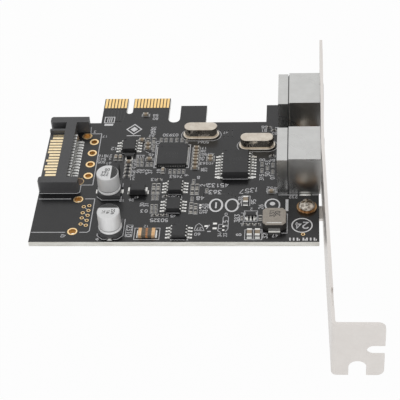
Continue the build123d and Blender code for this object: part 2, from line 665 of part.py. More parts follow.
# Moulded chips
body, leads, chip_pads = leaded_part(WIDE_CHIP, WIDE_CHIP["x"], WIDE_CHIP["y"])
save("interface_chip_body", body)
save("interface_chip_leads", *leads)
pads += chip_pads
for number, (chip_x, chip_y) in enumerate(SMALL_CHIPS, 1):
    body, leads, chip_pads = leaded_part(SMALL_CHIP, chip_x, chip_y)
    save(f"small_chip_{number}_body", body)
    save(f"small_chip_{number}_leads", *leads)
    pads += chip_pads
body, leads, chip_pads = leaded_part(TRANSISTOR, TRANSISTOR["x"], TRANSISTOR["y"], True)
save("transistor_body", body)
save("transistor_leads", *leads)
pads += chip_pads
body, leads, chip_pads = leaded_part(REGULATOR, REGULATOR["x"], REGULATOR["y"])
save("regulator_body", body)
save("regulator_leads", *leads)
pads += chip_pads

# Diodes
diode_bodies, diode_terminals = [], []
for diode_spot in DIODES:
    body, terminals, diode_pads = diode(*diode_spot)
    diode_bodies.append(body)
    diode_terminals += terminals
    pads += diode_pads
save("diode_bodies", *diode_bodies)
save("diode_terminals", *diode_terminals)

# Power inductor
coil_seat = place(*INDUCTOR, 0)
coil_half = INDUCTOR_SIDE / 2
coil_low = FOIL + LEAD_THICK
coil = block(-coil_half, coil_half, -coil_half, coil_half, coil_low, INDUCTOR_TOP)
coil = chamfer(coil.edges().filter_by(Axis.Z), INDUCTOR_CORNER)
coil = fillet(coil.edges().group_by(Axis.Z)[-1], INDUCTOR_EDGE)
save("inductor_body", coil_seat * coil)
coil_terminals = []
lead_half = INDUCTOR_LEAD_WIDTH / 2
for sign in (0, 180):
    spot = coil_seat * Rot(0, 0, sign)
    foot = block(-lead_half, lead_half, -coil_half - LEAD_THICK, -coil_half + INDUCTOR_LEAD_UNDER,
                 FOIL, coil_low)
    foot += block(-lead_half, lead_half, -coil_half - LEAD_THICK, -coil_half, FOIL, INDUCTOR_LEAD_TOP)
    coil_terminals.append(spot * foot)
    pads.append(spot * block(-lead_half, lead_half, -coil_half - LEAD_THICK - PAD_GROW,
                             -coil_half + INDUCTOR_LEAD_UNDER, 0, FOIL))
save("inductor_terminals", *coil_terminals)

# Fuse, large chip capacitors and small chip parts
groups = (
    ("fuse_body", "fuse_terminals", [(FUSE, FUSE_SIZE)]),
    ("bulk_capacitor_bodies", "bulk_capacitor_ends", [(spot, BULK_SIZE) for spot in BULK_PARTS]),
    ("chip_capacitor_bodies", "chip_capacitor_ends", [(spot, CHIP_SIZE) for spot in CHIP_CAPACITORS]),
    ("chip_resistor_bodies", "chip_resistor_ends",
     [(spot, CHIP_SIZE[:2] + (TINY_SIZE[2], CHIP_SIZE[3])) for spot in CHIP_RESISTORS]
     + [(spot, TINY_SIZE) for spot in TINY_RESISTORS]),
)
for body_name, end_name, members in groups:
    middles, ends = [], []
    for spot, size in members:
        middle, part_ends, part_pads = chip_part(*spot, size)
        middles.append(middle)
        ends += part_ends
        pads += part_pads
    save(body_name, *middles)
    save(end_name, *ends)

# Pads and joints
for pad_x, pad_y, pad_w, pad_l in BARE_PADS:
    pads.append(block(pad_x - pad_w / 2, pad_x + pad_w / 2, pad_y - pad_l / 2, pad_y + pad_l / 2,
                      0, FOIL))
save("solder_pads", *pads)
save("solder_joints", *joints)

# Circuit board
board = block(BOARD_LEFT, BOARD_RIGHT, BOARD_FRONT, BOARD_BACK, board_low, 0)
relief_right = TONGUE_RIGHT + RELIEF_WIDTH
board += block(TONGUE_LEFT, TONGUE_RIGHT, BOARD_BACK - 1, 0, board_low, 0)
board += block(TONGUE_RIGHT, TAB_A_RIGHT, BOARD_BACK - 1, TAB_TOP, board_low, 0)
board += block(TAB_B_LEFT, BOARD_RIGHT, BOARD_BACK - 1, TAB_TOP, board_low, 0)
tip_edges = board.edges().filter_by(Axis.X).group_by(Axis.Y)[-1]
board = chamfer(tip_edges, TONGUE_BEVEL)
for centre_x, width, depth in ((0, KEY_WIDTH, KEY_DEPTH),
                               ((TONGUE_RIGHT + relief_right) / 2, RELIEF_WIDTH, RELIEF_DEPTH)):
    radius = width / 2
    board -= block(centre_x - radius, centre_x + radius, radius - depth, 1, board_low - 1, 1)
    board -= disc(centre_x, radius - depth, board_low - 1, 1, radius)
for hole in board_holes:
    board -= hole
save("circuit_board", board)

# Bracket screws
screws = []
for screw_y in SCREW_YS:
    crown = SCREW_HEAD_HEIGHT - SCREW_FLANGE
    dome = SCREW_DOME_RADIUS ** 2 / crown / 1.4 + crown * 0.35
    head = disc(SCREW_X, screw_y, 0, SCREW_HEAD_HEIGHT, SCREW_DOME_RADIUS)
    head = head & (Pos(SCREW_X, screw_y, SCREW_HEAD_HEIGHT - dome) * Sphere(dome))
    head += disc(SCREW_X, screw_y, 0, SCREW_FLANGE, SCREW_HEAD_RADIUS)
    arm = SCREW_CROSS_LENGTH / 2
    slit = SCREW_CROSS_WIDTH / 2
    floor = SCREW_HEAD_HEIGHT - SCREW_CROSS_DEPTH
    head -= block(SCREW_X - arm, SCREW_X + arm, screw_y - slit, screw_y + slit, floor, 9)
    head -= block(SCREW_X - slit, SCREW_X + slit, screw_y - arm, screw_y + arm, floor, 9)
    shank = disc(SCREW_X, screw_y, board_low - SHEET - SCREW_TIP, 0, SCREW_RADIUS)
    screws.append(head + shank)
save("bracket_screws", *screws)

# Slot bracket
tab_back = TAB_PLANE + SHEET
tab_root_x = tab_inner_x + SHEET
plan = make_face(Polyline(
    (PLATE_INNER_X, PLATE_SHOULDER), (PLATE_INNER_X, PLATE_KINK_Y), (tab_inner_x, TAB_PLANE),
    (tab_outer_x, TAB_PLANE), (tab_outer_x, tab_back), (tab_root_x, tab_back),
    (plate_outer_x, PLATE_KINK_Y), (plate_outer_x, PLATE_SHOULDER), close=True))
bracket = extrude(Pos(0, 0, PLATE_LOW) * plan, amount=PLATE_HIGH - PLATE_LOW)
bracket = fillet(bracket.edges().filter_by(Axis.Y).sort_by(Axis.X)[-2:], TAB_CORNER)
inner_bend = bracket.edges().filter_by(Axis.Z).filter_by(
    lambda e: abs(e.center().X - tab_root_x) < 0.01 and abs(e.center().Y - tab_back) < 0.01)
bracket = fillet(inner_bend, BEND_RADIUS)
outer_bend = bracket.edges().filter_by(Axis.Z).filter_by(
    lambda e: abs(e.center().X - tab_inner_x) < 0.01 and abs(e.center().Y - TAB_PLANE) < 0.01)
bracket = fillet(outer_bend, BEND_RADIUS + SHEET)
tip_face = Plane.YZ.offset(PLATE_INNER_X) * make_face(Polyline(
    (PLATE_SHOULDER - 1, PLATE_LOW), (PLATE_SHOULDER, PLATE_LOW),
    (PLATE_SHOULDER + SHOULDER_RUN, TIP_LOW), (PLATE_TIP - 1, TIP_LOW), (PLATE_TIP, TIP_LOW + 1),
    (PLATE_TIP, TIP_HIGH - TIP_CHAMFER), (PLATE_TIP - TIP_CHAMFER, TIP_HIGH),
    (PLATE_SHOULDER + SHOULDER_RUN, TIP_HIGH), (PLATE_SHOULDER, PLATE_HIGH),
    (PLATE_SHOULDER - 1, PLATE_HIGH), close=True))
bracket += extrude(tip_face, amount=SHEET)
notch_x = tab_root_x + NOTCH_START
notch_r = NOTCH_WIDTH / 2
notch_top = PLATE_LOW + NOTCH_DEPTH
bracket -= block(notch_x, notch_x + NOTCH_WIDTH, TAB_PLANE - 1, TAB_PLANE + SHEET + 1,
                 PLATE_LOW - 1, notch_top - notch_r)
bracket -= (Pos(notch_x + notch_r, TAB_PLANE + SHEET / 2, notch_top - notch_r) * Rot(90, 0, 0)
            * Cylinder(notch_r, 3 * SHEET))
slot_r = SLOT_HEIGHT / 2
slot_x = tab_outer_x - SLOT_LENGTH + slot_r
bracket -= block(slot_x, tab_outer_x + 1, TAB_PLANE - 1, TAB_PLANE + SHEET + 1, SLOT_LOW,
                 SLOT_LOW + SLOT_HEIGHT)
bracket -= (Pos(slot_x, TAB_PLANE + SHEET / 2, SLOT_LOW + slot_r) * Rot(90, 0, 0)
            * Cylinder(slot_r, 3 * SHEET))
flare = PLATE_FLARE / (PLATE_KINK_Y - TAB_PLANE)
recess_x = plate_outer_x + flare * (PLATE_KINK_Y - EDGE_NOTCH_Y)
bracket -= (Pos(recess_x, EDGE_NOTCH_Y, PLATE_HIGH) * Rot(0, 0, degrees(atan(flare)))
            * Box(2 * EDGE_NOTCH_INTO, EDGE_NOTCH_LENGTH, 2 * EDGE_NOTCH_DEPTH))
for jack_y in JACK_YS:
    bracket -= rod(PLATE_INNER_X - 1, plate_outer_x + 1, jack_y, JACK_AXIS_Z,
                   JACK_COLLAR_RADIUS + JACK_OPENING_CLEARANCE)
for ear_y in SCREW_YS:
    ear = block(PLATE_INNER_X - EAR_REACH, PLATE_INNER_X + EAR_ROOT, ear_y - EAR_WIDTH / 2,
                ear_y + EAR_WIDTH / 2, board_low - SHEET, board_low)
    bracket += fillet(ear.edges().filter_by(Axis.Z).sort_by(Axis.X)[:2], EAR_CORNER)
    bracket -= disc(SCREW_X, ear_y, board_low - 2 * SHEET, board_low + 1,
                    SCREW_RADIUS + SCREW_EAR_CLEARANCE)
save("slot_bracket", bracket)
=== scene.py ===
"""Adapter card: finishes, printed layers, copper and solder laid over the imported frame.

Every shape is worked out with numpy as whole arrays, in millimetres on the board, and goes into
its mesh in metres. The board's component surface is at z = 0.
"""

import json
import logging
import math
from dataclasses import dataclass, field
from enum import Enum

import bpy
import numpy as np
from mathutils import Matrix, Vector


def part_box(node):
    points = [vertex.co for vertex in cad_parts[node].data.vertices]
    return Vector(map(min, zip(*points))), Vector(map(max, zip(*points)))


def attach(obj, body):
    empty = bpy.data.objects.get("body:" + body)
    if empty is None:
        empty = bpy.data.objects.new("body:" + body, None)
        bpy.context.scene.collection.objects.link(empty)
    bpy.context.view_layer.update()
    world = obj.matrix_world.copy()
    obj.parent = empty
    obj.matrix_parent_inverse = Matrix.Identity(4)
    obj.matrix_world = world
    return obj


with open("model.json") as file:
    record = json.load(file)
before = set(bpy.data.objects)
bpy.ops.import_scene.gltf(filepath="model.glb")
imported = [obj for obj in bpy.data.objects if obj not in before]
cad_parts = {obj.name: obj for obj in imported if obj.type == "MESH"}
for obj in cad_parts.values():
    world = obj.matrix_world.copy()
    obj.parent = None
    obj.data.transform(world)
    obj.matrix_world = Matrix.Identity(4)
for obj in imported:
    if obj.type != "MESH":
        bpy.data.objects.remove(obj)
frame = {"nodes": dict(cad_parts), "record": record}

MM = 0.001
PRINT_HEIGHT = 0.02
BOARD_THICK = 1.6
LOG = logging.getLogger("adapter_card")

GLYPH_WIDTH = 0.6
GLYPH_ADVANCE = 0.86
PICTURE_SIDE = 400.0
SENSOR_SIDE = 36.0

Triple = tuple[float, float, float]
Colour = Triple
Point = tuple[float, float]
Profile = tuple[Point, ...]
Material = bpy.types.Material
Materials = dict[str, Material]
Node = bpy.types.Node
Socket = bpy.types.NodeSocket
Tree = bpy.types.NodeTree


class Turn(Enum):
    """Reading direction of a printed number, in degrees."""

    ACROSS = 180
    UP = 90
    DOWN = 270
    SLANTED = 170


class Axis(Enum):
    """Axis along which a finish changes or a mark lies."""

    X = "X"
    Y = "Y"
    Z = "Z"


def add_math(tree: Tree, operation: str, second: float | None = None) -> Node:
    """Add a math node, with a constant in its second input where one is given."""
    node = tree.nodes.new("ShaderNodeMath")
    node.operation = operation
    if second is not None:
        node.inputs[1].default_value = second
    return node


def wire(tree: Tree, *links: tuple[Node, str | int, Node, str | int]) -> None:
    """Join nodes, each link given as node, output, node and input."""
    for source, output, target, name in links:
        tree.links.new(source.outputs[output], target.inputs[name])


def add_ramp(tree: Tree, places: Point, tones: tuple[Colour, Colour]) -> Node:
    """Add a colour ramp from the first tone to the second."""
    node = tree.nodes.new("ShaderNodeValToRGB")
    for element, place, tone in zip(node.color_ramp.elements, places, tones):
        element.position = place
        element.color = (*tone, 1.0)
    return node


def once_round(sides: int) -> np.ndarray:
    """Evenly spaced angles of one full turn."""
    return np.linspace(0, 2 * np.pi, sides, endpoint=False)


def ellipse(x: float, y: float, rx: float, ry: float, t: np.ndarray) -> np.ndarray:
    """Points (x + rx cos t, y + ry sin t) for an array of angles t."""
    return np.stack([x + rx * np.cos(t), y + ry * np.sin(t)], axis=1)


def at_height(outline: np.ndarray, z: float) -> np.ndarray:
    """Points (n, 3): a flat outline (n, 2) lifted to one height."""
    return np.column_stack([outline, np.full(len(outline), z)])


def tube_faces(rings: int, sides: int, loop: bool = False) -> list[list[int]]:
    """Faces of a tube whose points are given ring by ring.

    Args:
        rings: Number of rings.
        sides: Points of a ring.
        loop: Whether the last ring joins the first. Both ends are closed where it does not, and
            the last ring's end is the last face.

    Returns:
        Vertex indices of each face.
    """
    faces = [[k * sides + i, k * sides + (i + 1) % sides,
              (k + 1) % rings * sides + (i + 1) % sides, (k + 1) % rings * sides + i]
             for k in range(rings if loop else rings - 1) for i in range(sides)]
    if loop:
        return faces
    last = (rings - 1) * sides
    return faces + [list(range(sides))[::-1], list(range(last, last + sides))]


def place_object(name: str, data: bpy.types.ID) -> bpy.types.Object:
    """Make an object at the origin and link it to the scene."""
    thing = bpy.data.objects.new(name, data)
    bpy.context.scene.collection.objects.link(thing)
    return thing


@dataclass(frozen=True)
class Finish:
    """One finish: two tones mixed by a fine grain, with its gloss and relief."""

    name: str
    tone: Colour
    second: Colour
    metal: float = 0.0
    rough: float = 0.5
    rough_spread: float = 0.08
    grain: float = 900.0
    stretch: Triple = (1.0, 1.0, 1.0)
    relief: float = 0.00001
    relief_strength: float = 0.2
    specular: float = 0.5
    ramp: Point = (0.32, 0.68)
    wide_share: float = 9.0

    def add(self, tree: Tree, kind: str, **sockets: object) -> Node:
        """Add a node and set its input sockets.

        Args:
            tree: Node tree.
            kind: Node type.
            sockets: Input names, with spaces written as underscores, and their values.

        Returns:
            The new node.
        """
        node = tree.nodes.new(kind)
        for name, value in sockets.items():
            node.inputs[name.replace("_", " ")].default_value = value
        return node

    def colour(self, tree: Tree, place: Node, noise: Node) -> Socket:
        """Mix the two tones by the grain.

        Args:
            tree: Node tree.
            place: Texture coordinate node, which a plain finish leaves alone.
            noise: Grain node.

        Returns:
            Colour socket.
        """
        ramp = add_ramp(tree, self.ramp, (self.tone, self.second))
        wire(tree, (noise, "Fac", ramp, "Fac"))
        return ramp.outputs["Color"]

    def build(self) -> Material:
        """Build the node material.

        Returns:
            The material.
        """
        material = bpy.data.materials.new(self.name)
        material.use_nodes = True
        tree = material.node_tree
        tree.nodes.clear()
        output = tree.nodes.new("ShaderNodeOutputMaterial")
        shader = self.add(tree, "ShaderNodeBsdfPrincipled", Metallic=self.metal,
                          Specular_IOR_Level=self.specular)
        place = tree.nodes.new("ShaderNodeTexCoord")
        spread = self.add(tree, "ShaderNodeMapping", Scale=self.stretch)
        noise = self.add(tree, "ShaderNodeTexNoise", Scale=self.grain, Detail=4.0)
        wide = self.add(tree, "ShaderNodeTexNoise", Scale=self.grain / self.wide_share, Detail=2.0)
        gloss = self.add(tree, "ShaderNodeMapRange",
                         To_Min=max(0.02, self.rough - self.rough_spread),
                         To_Max=min(1.0, self.rough + self.rough_spread))
        bump = self.add(tree, "ShaderNodeBump", Strength=self.relief_strength,
                        Distance=self.relief)
        wire(tree, (place, "Object", spread, "Vector"), (spread, "Vector", noise, "Vector"),
             (spread, "Vector", wide, "Vector"), (wide, "Fac", gloss, "Value"),
             (gloss, "Result", shader, "Roughness"), (noise, "Fac", bump, "Height"),
             (bump, "Normal", shader, "Normal"), (shader, "BSDF", output, "Surface"))
        tree.links.new(self.colour(tree, place, noise), shader.inputs["Base Color"])
        return material


@dataclass(frozen=True)
class ZonedFinish(Finish):
    """A finish with a second pair of tones inside one slab of space."""

    zone_tone: Colour = (0.5, 0.5, 0.5)
    zone_second: Colour = (0.4, 0.4, 0.4)
    axis: Axis = Axis.Z
    centre: float = -BOARD_THICK / 2
    half: float = BOARD_THICK / 2 - 0.03
    zone_grain: float = 1100.0
    zone_stretch: Triple = (0.25, 0.25, 4.0)
    zone_ramp: Point = (0.35, 0.6)

    def colour(self, tree: Tree, place: Node, noise: Node) -> Socket:
        """Mix the two pairs of tones: the zone's where |axis - centre| < half, in millimetres.

        Args:
            tree: Node tree.
            place: Texture coordinate node.
            noise: Grain node.

        Returns:
            Colour socket.
        """
        split = tree.nodes.new("ShaderNodeSeparateXYZ")
        off = add_math(tree, "SUBTRACT", self.centre * MM)
        size = add_math(tree, "ABSOLUTE")
        inside = add_math(tree, "LESS_THAN", self.half * MM)
        layers = self.add(tree, "ShaderNodeMapping", Scale=self.zone_stretch)
        weave = self.add(tree, "ShaderNodeTexNoise", Scale=self.zone_grain, Detail=3.0)
        shades = add_ramp(tree, self.zone_ramp, (self.zone_second, self.zone_tone))
        mix = tree.nodes.new("ShaderNodeMix")
        mix.data_type = "RGBA"
        wire(tree, (place, "Object", split, "Vector"), (split, self.axis.value, off, 0),
             (off, 0, size, 0), (size, 0, inside, 0), (place, "Object", layers, "Vector"),
             (layers, "Vector", weave, "Vector"), (weave, "Fac", shades, "Fac"),
             (inside, 0, mix, "Factor"), (shades, "Color", mix, 7))
        tree.links.new(super().colour(tree, place, noise), mix.inputs[6])
        return mix.outputs[2]


@dataclass(frozen=True)
class FloorFinish(Finish):
    """Pale floor that looks white to the camera and in reflections and keeps a faint shadow."""

    whiteness: float = 0.96

    def build(self) -> Material:
        """Build the floor's material: plain white light is mixed in for camera and glossy rays.

        Returns:
            The material.
        """
        material = super().build()
        tree = material.node_tree
        output = next(n for n in tree.nodes if n.type == "OUTPUT_MATERIAL")
        shader = next(n for n in tree.nodes if n.type == "BSDF_PRINCIPLED")
        path = tree.nodes.new("ShaderNodeLightPath")
        seen = add_math(tree, "MAXIMUM")
        share = add_math(tree, "MULTIPLY", self.whiteness)
        white = tree.nodes.new("ShaderNodeEmission")
        mix = tree.nodes.new("ShaderNodeMixShader")
        wire(tree, (path, "Is Camera Ray", seen, 0), (path, "Is Glossy Ray", seen, 1),
             (seen, 0, share, 0), (share, 0, mix, "Fac"), (shader, "BSDF", mix, 1),
             (white, "Emission", mix, 2), (mix, "Shader", output, "Surface"))
        return material


FINISHES: tuple[Finish, ...] = (
    ZonedFinish("board_laminate", (0.012, 0.012, 0.013), (0.016, 0.016, 0.017), rough=0.25,
        rough_spread=0.04, grain=260.0, relief_strength=0.05, zone_tone=(0.86, 0.85, 0.80),
        zone_second=(0.66, 0.64, 0.58)),
    Finish("gold_plate", (0.98, 0.66, 0.26), (1.0, 0.74, 0.36), metal=1.0, rough=0.3, grain=1500.0,
        stretch=(1.0, 0.2, 1.0), relief_strength=0.04),
    Finish("bracket_steel", (0.74, 0.705, 0.675), (0.77, 0.735, 0.705), metal=0.8, rough=0.36,
        grain=500.0, stretch=(1.0, 0.12, 1.0), relief_strength=0.06),
    # Screw head: the grain mixes a pale tone and a near-black one as painted highlights and
    # painted dark reflections; below z = 0.7 mm is a darker brown flange.
    ZonedFinish("screw_brass", (0.80, 0.74, 0.66), (0.10, 0.08, 0.06), metal=1.0, rough=0.12,
        grain=1100.0, relief_strength=0.5, relief=0.00003, zone_tone=(0.52, 0.32, 0.17),
        zone_second=(0.40, 0.24, 0.12), centre=0.2, half=0.5, zone_stretch=(1.0, 1.0, 1.0)),
    Finish("jack_tinplate", (0.54, 0.54, 0.53), (0.58, 0.58, 0.57), metal=1.0, rough=0.27,
        grain=420.0, relief_strength=0.12, rough_spread=0.04),
    Finish("black_plastic", (0.060, 0.060, 0.062), (0.078, 0.078, 0.081), rough=0.42,
        grain=2200.0),
    Finish("tin_plate", (0.78, 0.78, 0.76), (0.88, 0.87, 0.84), metal=0.85, rough=0.3,
        grain=1800.0),
    Finish("can_aluminium", (0.82, 0.82, 0.82), (0.88, 0.88, 0.88), metal=0.2, rough=0.42,
        stretch=(1.0, 1.0, 0.15)),
    Finish("crystal_nickel", (0.55, 0.49, 0.42), (0.66, 0.61, 0.53), metal=1.0, rough=0.16,
        rough_spread=0.05, grain=700.0),
    Finish("chip_plastic", (0.018, 0.018, 0.019), (0.026, 0.026, 0.027), grain=3000.0),
    ZonedFinish("inductor_grey", (0.34, 0.305, 0.265), (0.46, 0.415, 0.36), rough=0.6,
        grain=2600.0, relief_strength=0.4, zone_tone=(0.030, 0.028, 0.026),
        zone_second=(0.018, 0.017, 0.016), centre=1.2, half=1.2),
    ZonedFinish("fuse_brown", (0.10, 0.088, 0.068), (0.16, 0.14, 0.11), rough=0.45, grain=1500.0,
        zone_tone=(0.62, 0.26, 0.10), zone_second=(0.26, 0.15, 0.08), axis=Axis.X, centre=10.05,
        half=0.3, zone_grain=2200.0, zone_stretch=(1.0, 1.0, 1.0)),
    Finish("capacitor_tan", (0.30, 0.235, 0.165), (0.40, 0.32, 0.23), rough=0.4, grain=1800.0),
    Finish("resistor_black", (0.025, 0.025, 0.026), (0.045, 0.045, 0.045), rough=0.35,
        grain=1800.0),
    Finish("print_white", (0.62, 0.62, 0.64), (0.76, 0.76, 0.77), rough=0.6, grain=2500.0),
    Finish("print_bright", (0.84, 0.84, 0.85), (0.90, 0.90, 0.91), rough=0.6, grain=2500.0),
    Finish("print_soft", (0.38, 0.38, 0.39), (0.50, 0.50, 0.51), rough=0.6, grain=2500.0),
    Finish("print_black", (0.020, 0.020, 0.020), (0.035, 0.035, 0.035), rough=0.4, grain=2000.0),
    Finish("solder_bright", (0.70, 0.70, 0.68), (0.84, 0.84, 0.81), metal=0.8, rough=0.25,
        grain=1500.0),
    Finish("solder_dull", (0.36, 0.35, 0.33), (0.48, 0.47, 0.44), metal=0.8, rough=0.35,
        grain=1500.0),
    Finish("chip_tin", (0.40, 0.38, 0.35), (0.54, 0.52, 0.48), metal=0.7, rough=0.35,
        grain=1800.0),
    Finish("mask_relief", (0.021, 0.021, 0.022), (0.028, 0.028, 0.029), rough=0.3, grain=300.0,
        specular=0.6),
    Finish("fuse_gold", (0.74, 0.44, 0.20), (0.88, 0.60, 0.36), metal=0.5, rough=0.35,
        grain=1200.0),
    ZonedFinish("plated_hole", (0.95, 0.68, 0.34), (1.0, 0.76, 0.44), metal=1.0, rough=0.3,
        grain=1200.0, zone_tone=(0.42, 0.20, 0.05), zone_second=(0.24, 0.10, 0.02)),
    Finish("can_lip", (0.94, 0.94, 0.94), (0.99, 0.99, 0.99), rough=0.35),
    # Dark grey of the ring above each can's lip: painted shade of a groove.
    Finish("can_groove_shade", (0.36, 0.36, 0.36), (0.42, 0.42, 0.42), metal=0.2),
    # Dark brown for the filled hole beside the plug, darkened as painted shade from the plug.
    Finish("painted_shade_brown", (0.12, 0.065, 0.035), (0.05, 0.03, 0.02)),
    ZonedFinish("plug_strip", (0.55, 0.55, 0.54), (0.72, 0.72, 0.70), metal=0.9, rough=0.3,
        grain=1500.0, zone_tone=(1.0, 0.84, 0.56), zone_second=(0.95, 0.76, 0.46), axis=Axis.X,
        centre=-20.0, half=5.2, zone_stretch=(1.0, 1.0, 1.0)),
    FloorFinish("floor_white", (0.86, 0.86, 0.86), (0.87, 0.87, 0.87), rough=0.9, grain=20.0,
        specular=0.1),
)

GLYPHS: dict[str, list[Point]] = {
    "0": [(0, .25), (0, .75), (.15, 1), (.45, 1), (.6, .75), (.6, .25), (.45, 0), (.15, 0),
          (0, .25)],
    "1": [(.08, .78), (.32, 1), (.32, 0)],
    "2": [(0, .8), (.15, 1), (.45, 1), (.6, .8), (.58, .6), (0, 0), (.6, 0)],
    "3": [(0, 1), (.58, 1), (.28, .6), (.55, .45), (.6, .2), (.42, 0), (.15, 0), (0, .15)],
    "4": [(.45, 0), (.45, 1), (0, .3), (.62, .3)],
    "5": [(.58, 1), (.03, 1), (0, .55), (.4, .6), (.6, .4), (.58, .15), (.4, 0), (.1, 0), (0, .1)],
    "6": [(.5, 1), (.12, .7), (0, .35), (.05, .1), (.2, 0), (.45, 0), (.6, .2), (.57, .42),
          (.4, .56), (.05, .42)],
    "7": [(0, 1), (.6, 1), (.2, 0)],
    "8": [(.3, .52), (.06, .7), (.06, .88), (.2, 1), (.4, 1), (.54, .88), (.54, .7), (.3, .52),
          (0, .32), (0, .12), (.15, 0), (.45, 0), (.6, .12), (.6, .32), (.3, .52)],
    "9": [(.1, 0), (.48, .3), (.6, .65), (.55, .9), (.4, 1), (.15, 1), (0, .8), (.03, .58),
          (.2, .44), (.55, .58)],
}

SMALL_CHIP_SPOTS: Profile = ((1.6, -23.6), (16.5, -41.7), (16.55, -49.5), (18.85, -60.2))
CRYSTAL_SPOTS: Profile = ((22.6, -18.1), (39.4, -23.2))

# Drawn paths by line width: the plug, the sockets, the capacitors and the wide chips have 0.24.
OUTLINES: dict[float, tuple[Profile, ...]] = {
    0.24: (
        ((-22.4, -43.85), (-11.5, -43.85), (-10.8, -43.3), (-10.8, -40.3)),
        ((-10.8, -40.3), (-7.42, -40.26), (-7.42, -17.2), (-10.7, -17.2)),
        ((-10.7, -17.2), (-11.0, -14.1), (-11.9, -14.0)), ((-22.3, -46.19), (-12.9, -46.19)),
        ((-8.9, -46.19), (-6.1, -46.19), (-6.1, -59.3), (-6.7, -59.89), (-8.8, -59.89)),
        ((-22.3, -59.89), (-12.8, -59.89)), ((1.36, -41.2), (1.36, -39.6)),
        ((1.36, -45.2), (1.36, -46.7), (-4.1, -46.7), (-5.6, -45.3)),
        ((-5.6, -41.3), (-5.6, -40.6), (-4.4, -39.5), (0.0, -39.5)),
        ((-3.75, -60.4), (-3.75, -61.2), (-2.25, -62.68), (-1.0, -62.68)),
        ((0.9, -62.68), (2.0, -62.68), (3.45, -61.2), (3.45, -54.6)),
        ((-3.75, -57.6), (-3.75, -56.6), (-2.6, -55.5), (-1.4, -55.5)),
        ((10.32, -22.6), (9.62, -22.6), (9.62, -32.85), (10.32, -32.85)),
        ((19.0, -22.6), (19.7, -22.6), (19.7, -32.85), (19.0, -32.85)),
        ((29.9, -27.55), (37.0, -27.55)), ((29.9, -37.95), (37.0, -37.95))),
    0.2: (
        ((41.3, -59.4), (41.3, -60.3), (43.0, -60.3)), ((39.33, -62.87), (39.33, -58.95)),
        ((47.0, -60.3), (48.5, -60.3), (48.5, -52.6), (47.4, -52.6)),
        ((35.67, -49.3), (35.67, -45.2), (37.97, -45.2), (37.97, -49.3))),
    0.18: (
        ((32.25, -54.2), (32.25, -58.6), (31.6, -59.6)), ((35.6, -47.0), (34.7, -49.6)),
        ((30.75, -54.2), (30.75, -56.8), (29.7, -56.8), (29.5, -59.4), (30.4, -60.0)),
        ((23.0, -59.3), (23.4, -57.2), (24.2, -56.4), (25.0, -57.2), (25.7, -59.3), (23.0, -59.3)),
        ((35.6, -52.2), (36.35, -52.2), (36.35, -56.5), (35.6, -56.5)),
        ((4.0, -27.2), (6.4, -27.2))),
    0.26: (((45.9, -44.75), (51.3, -44.75)), ((55.4, -44.75), (57.0, -44.75))),
    0.14: (((4.1, -57.0), (5.9, -57.0), (5.9, -61.7), (4.1, -61.7), (4.1, -57.0)),),
    0.3: (((27.1, -57.0), (26.3, -58.6)),),
    0.4: (((26.6, -59.6), (27.6, -59.6)),),
}

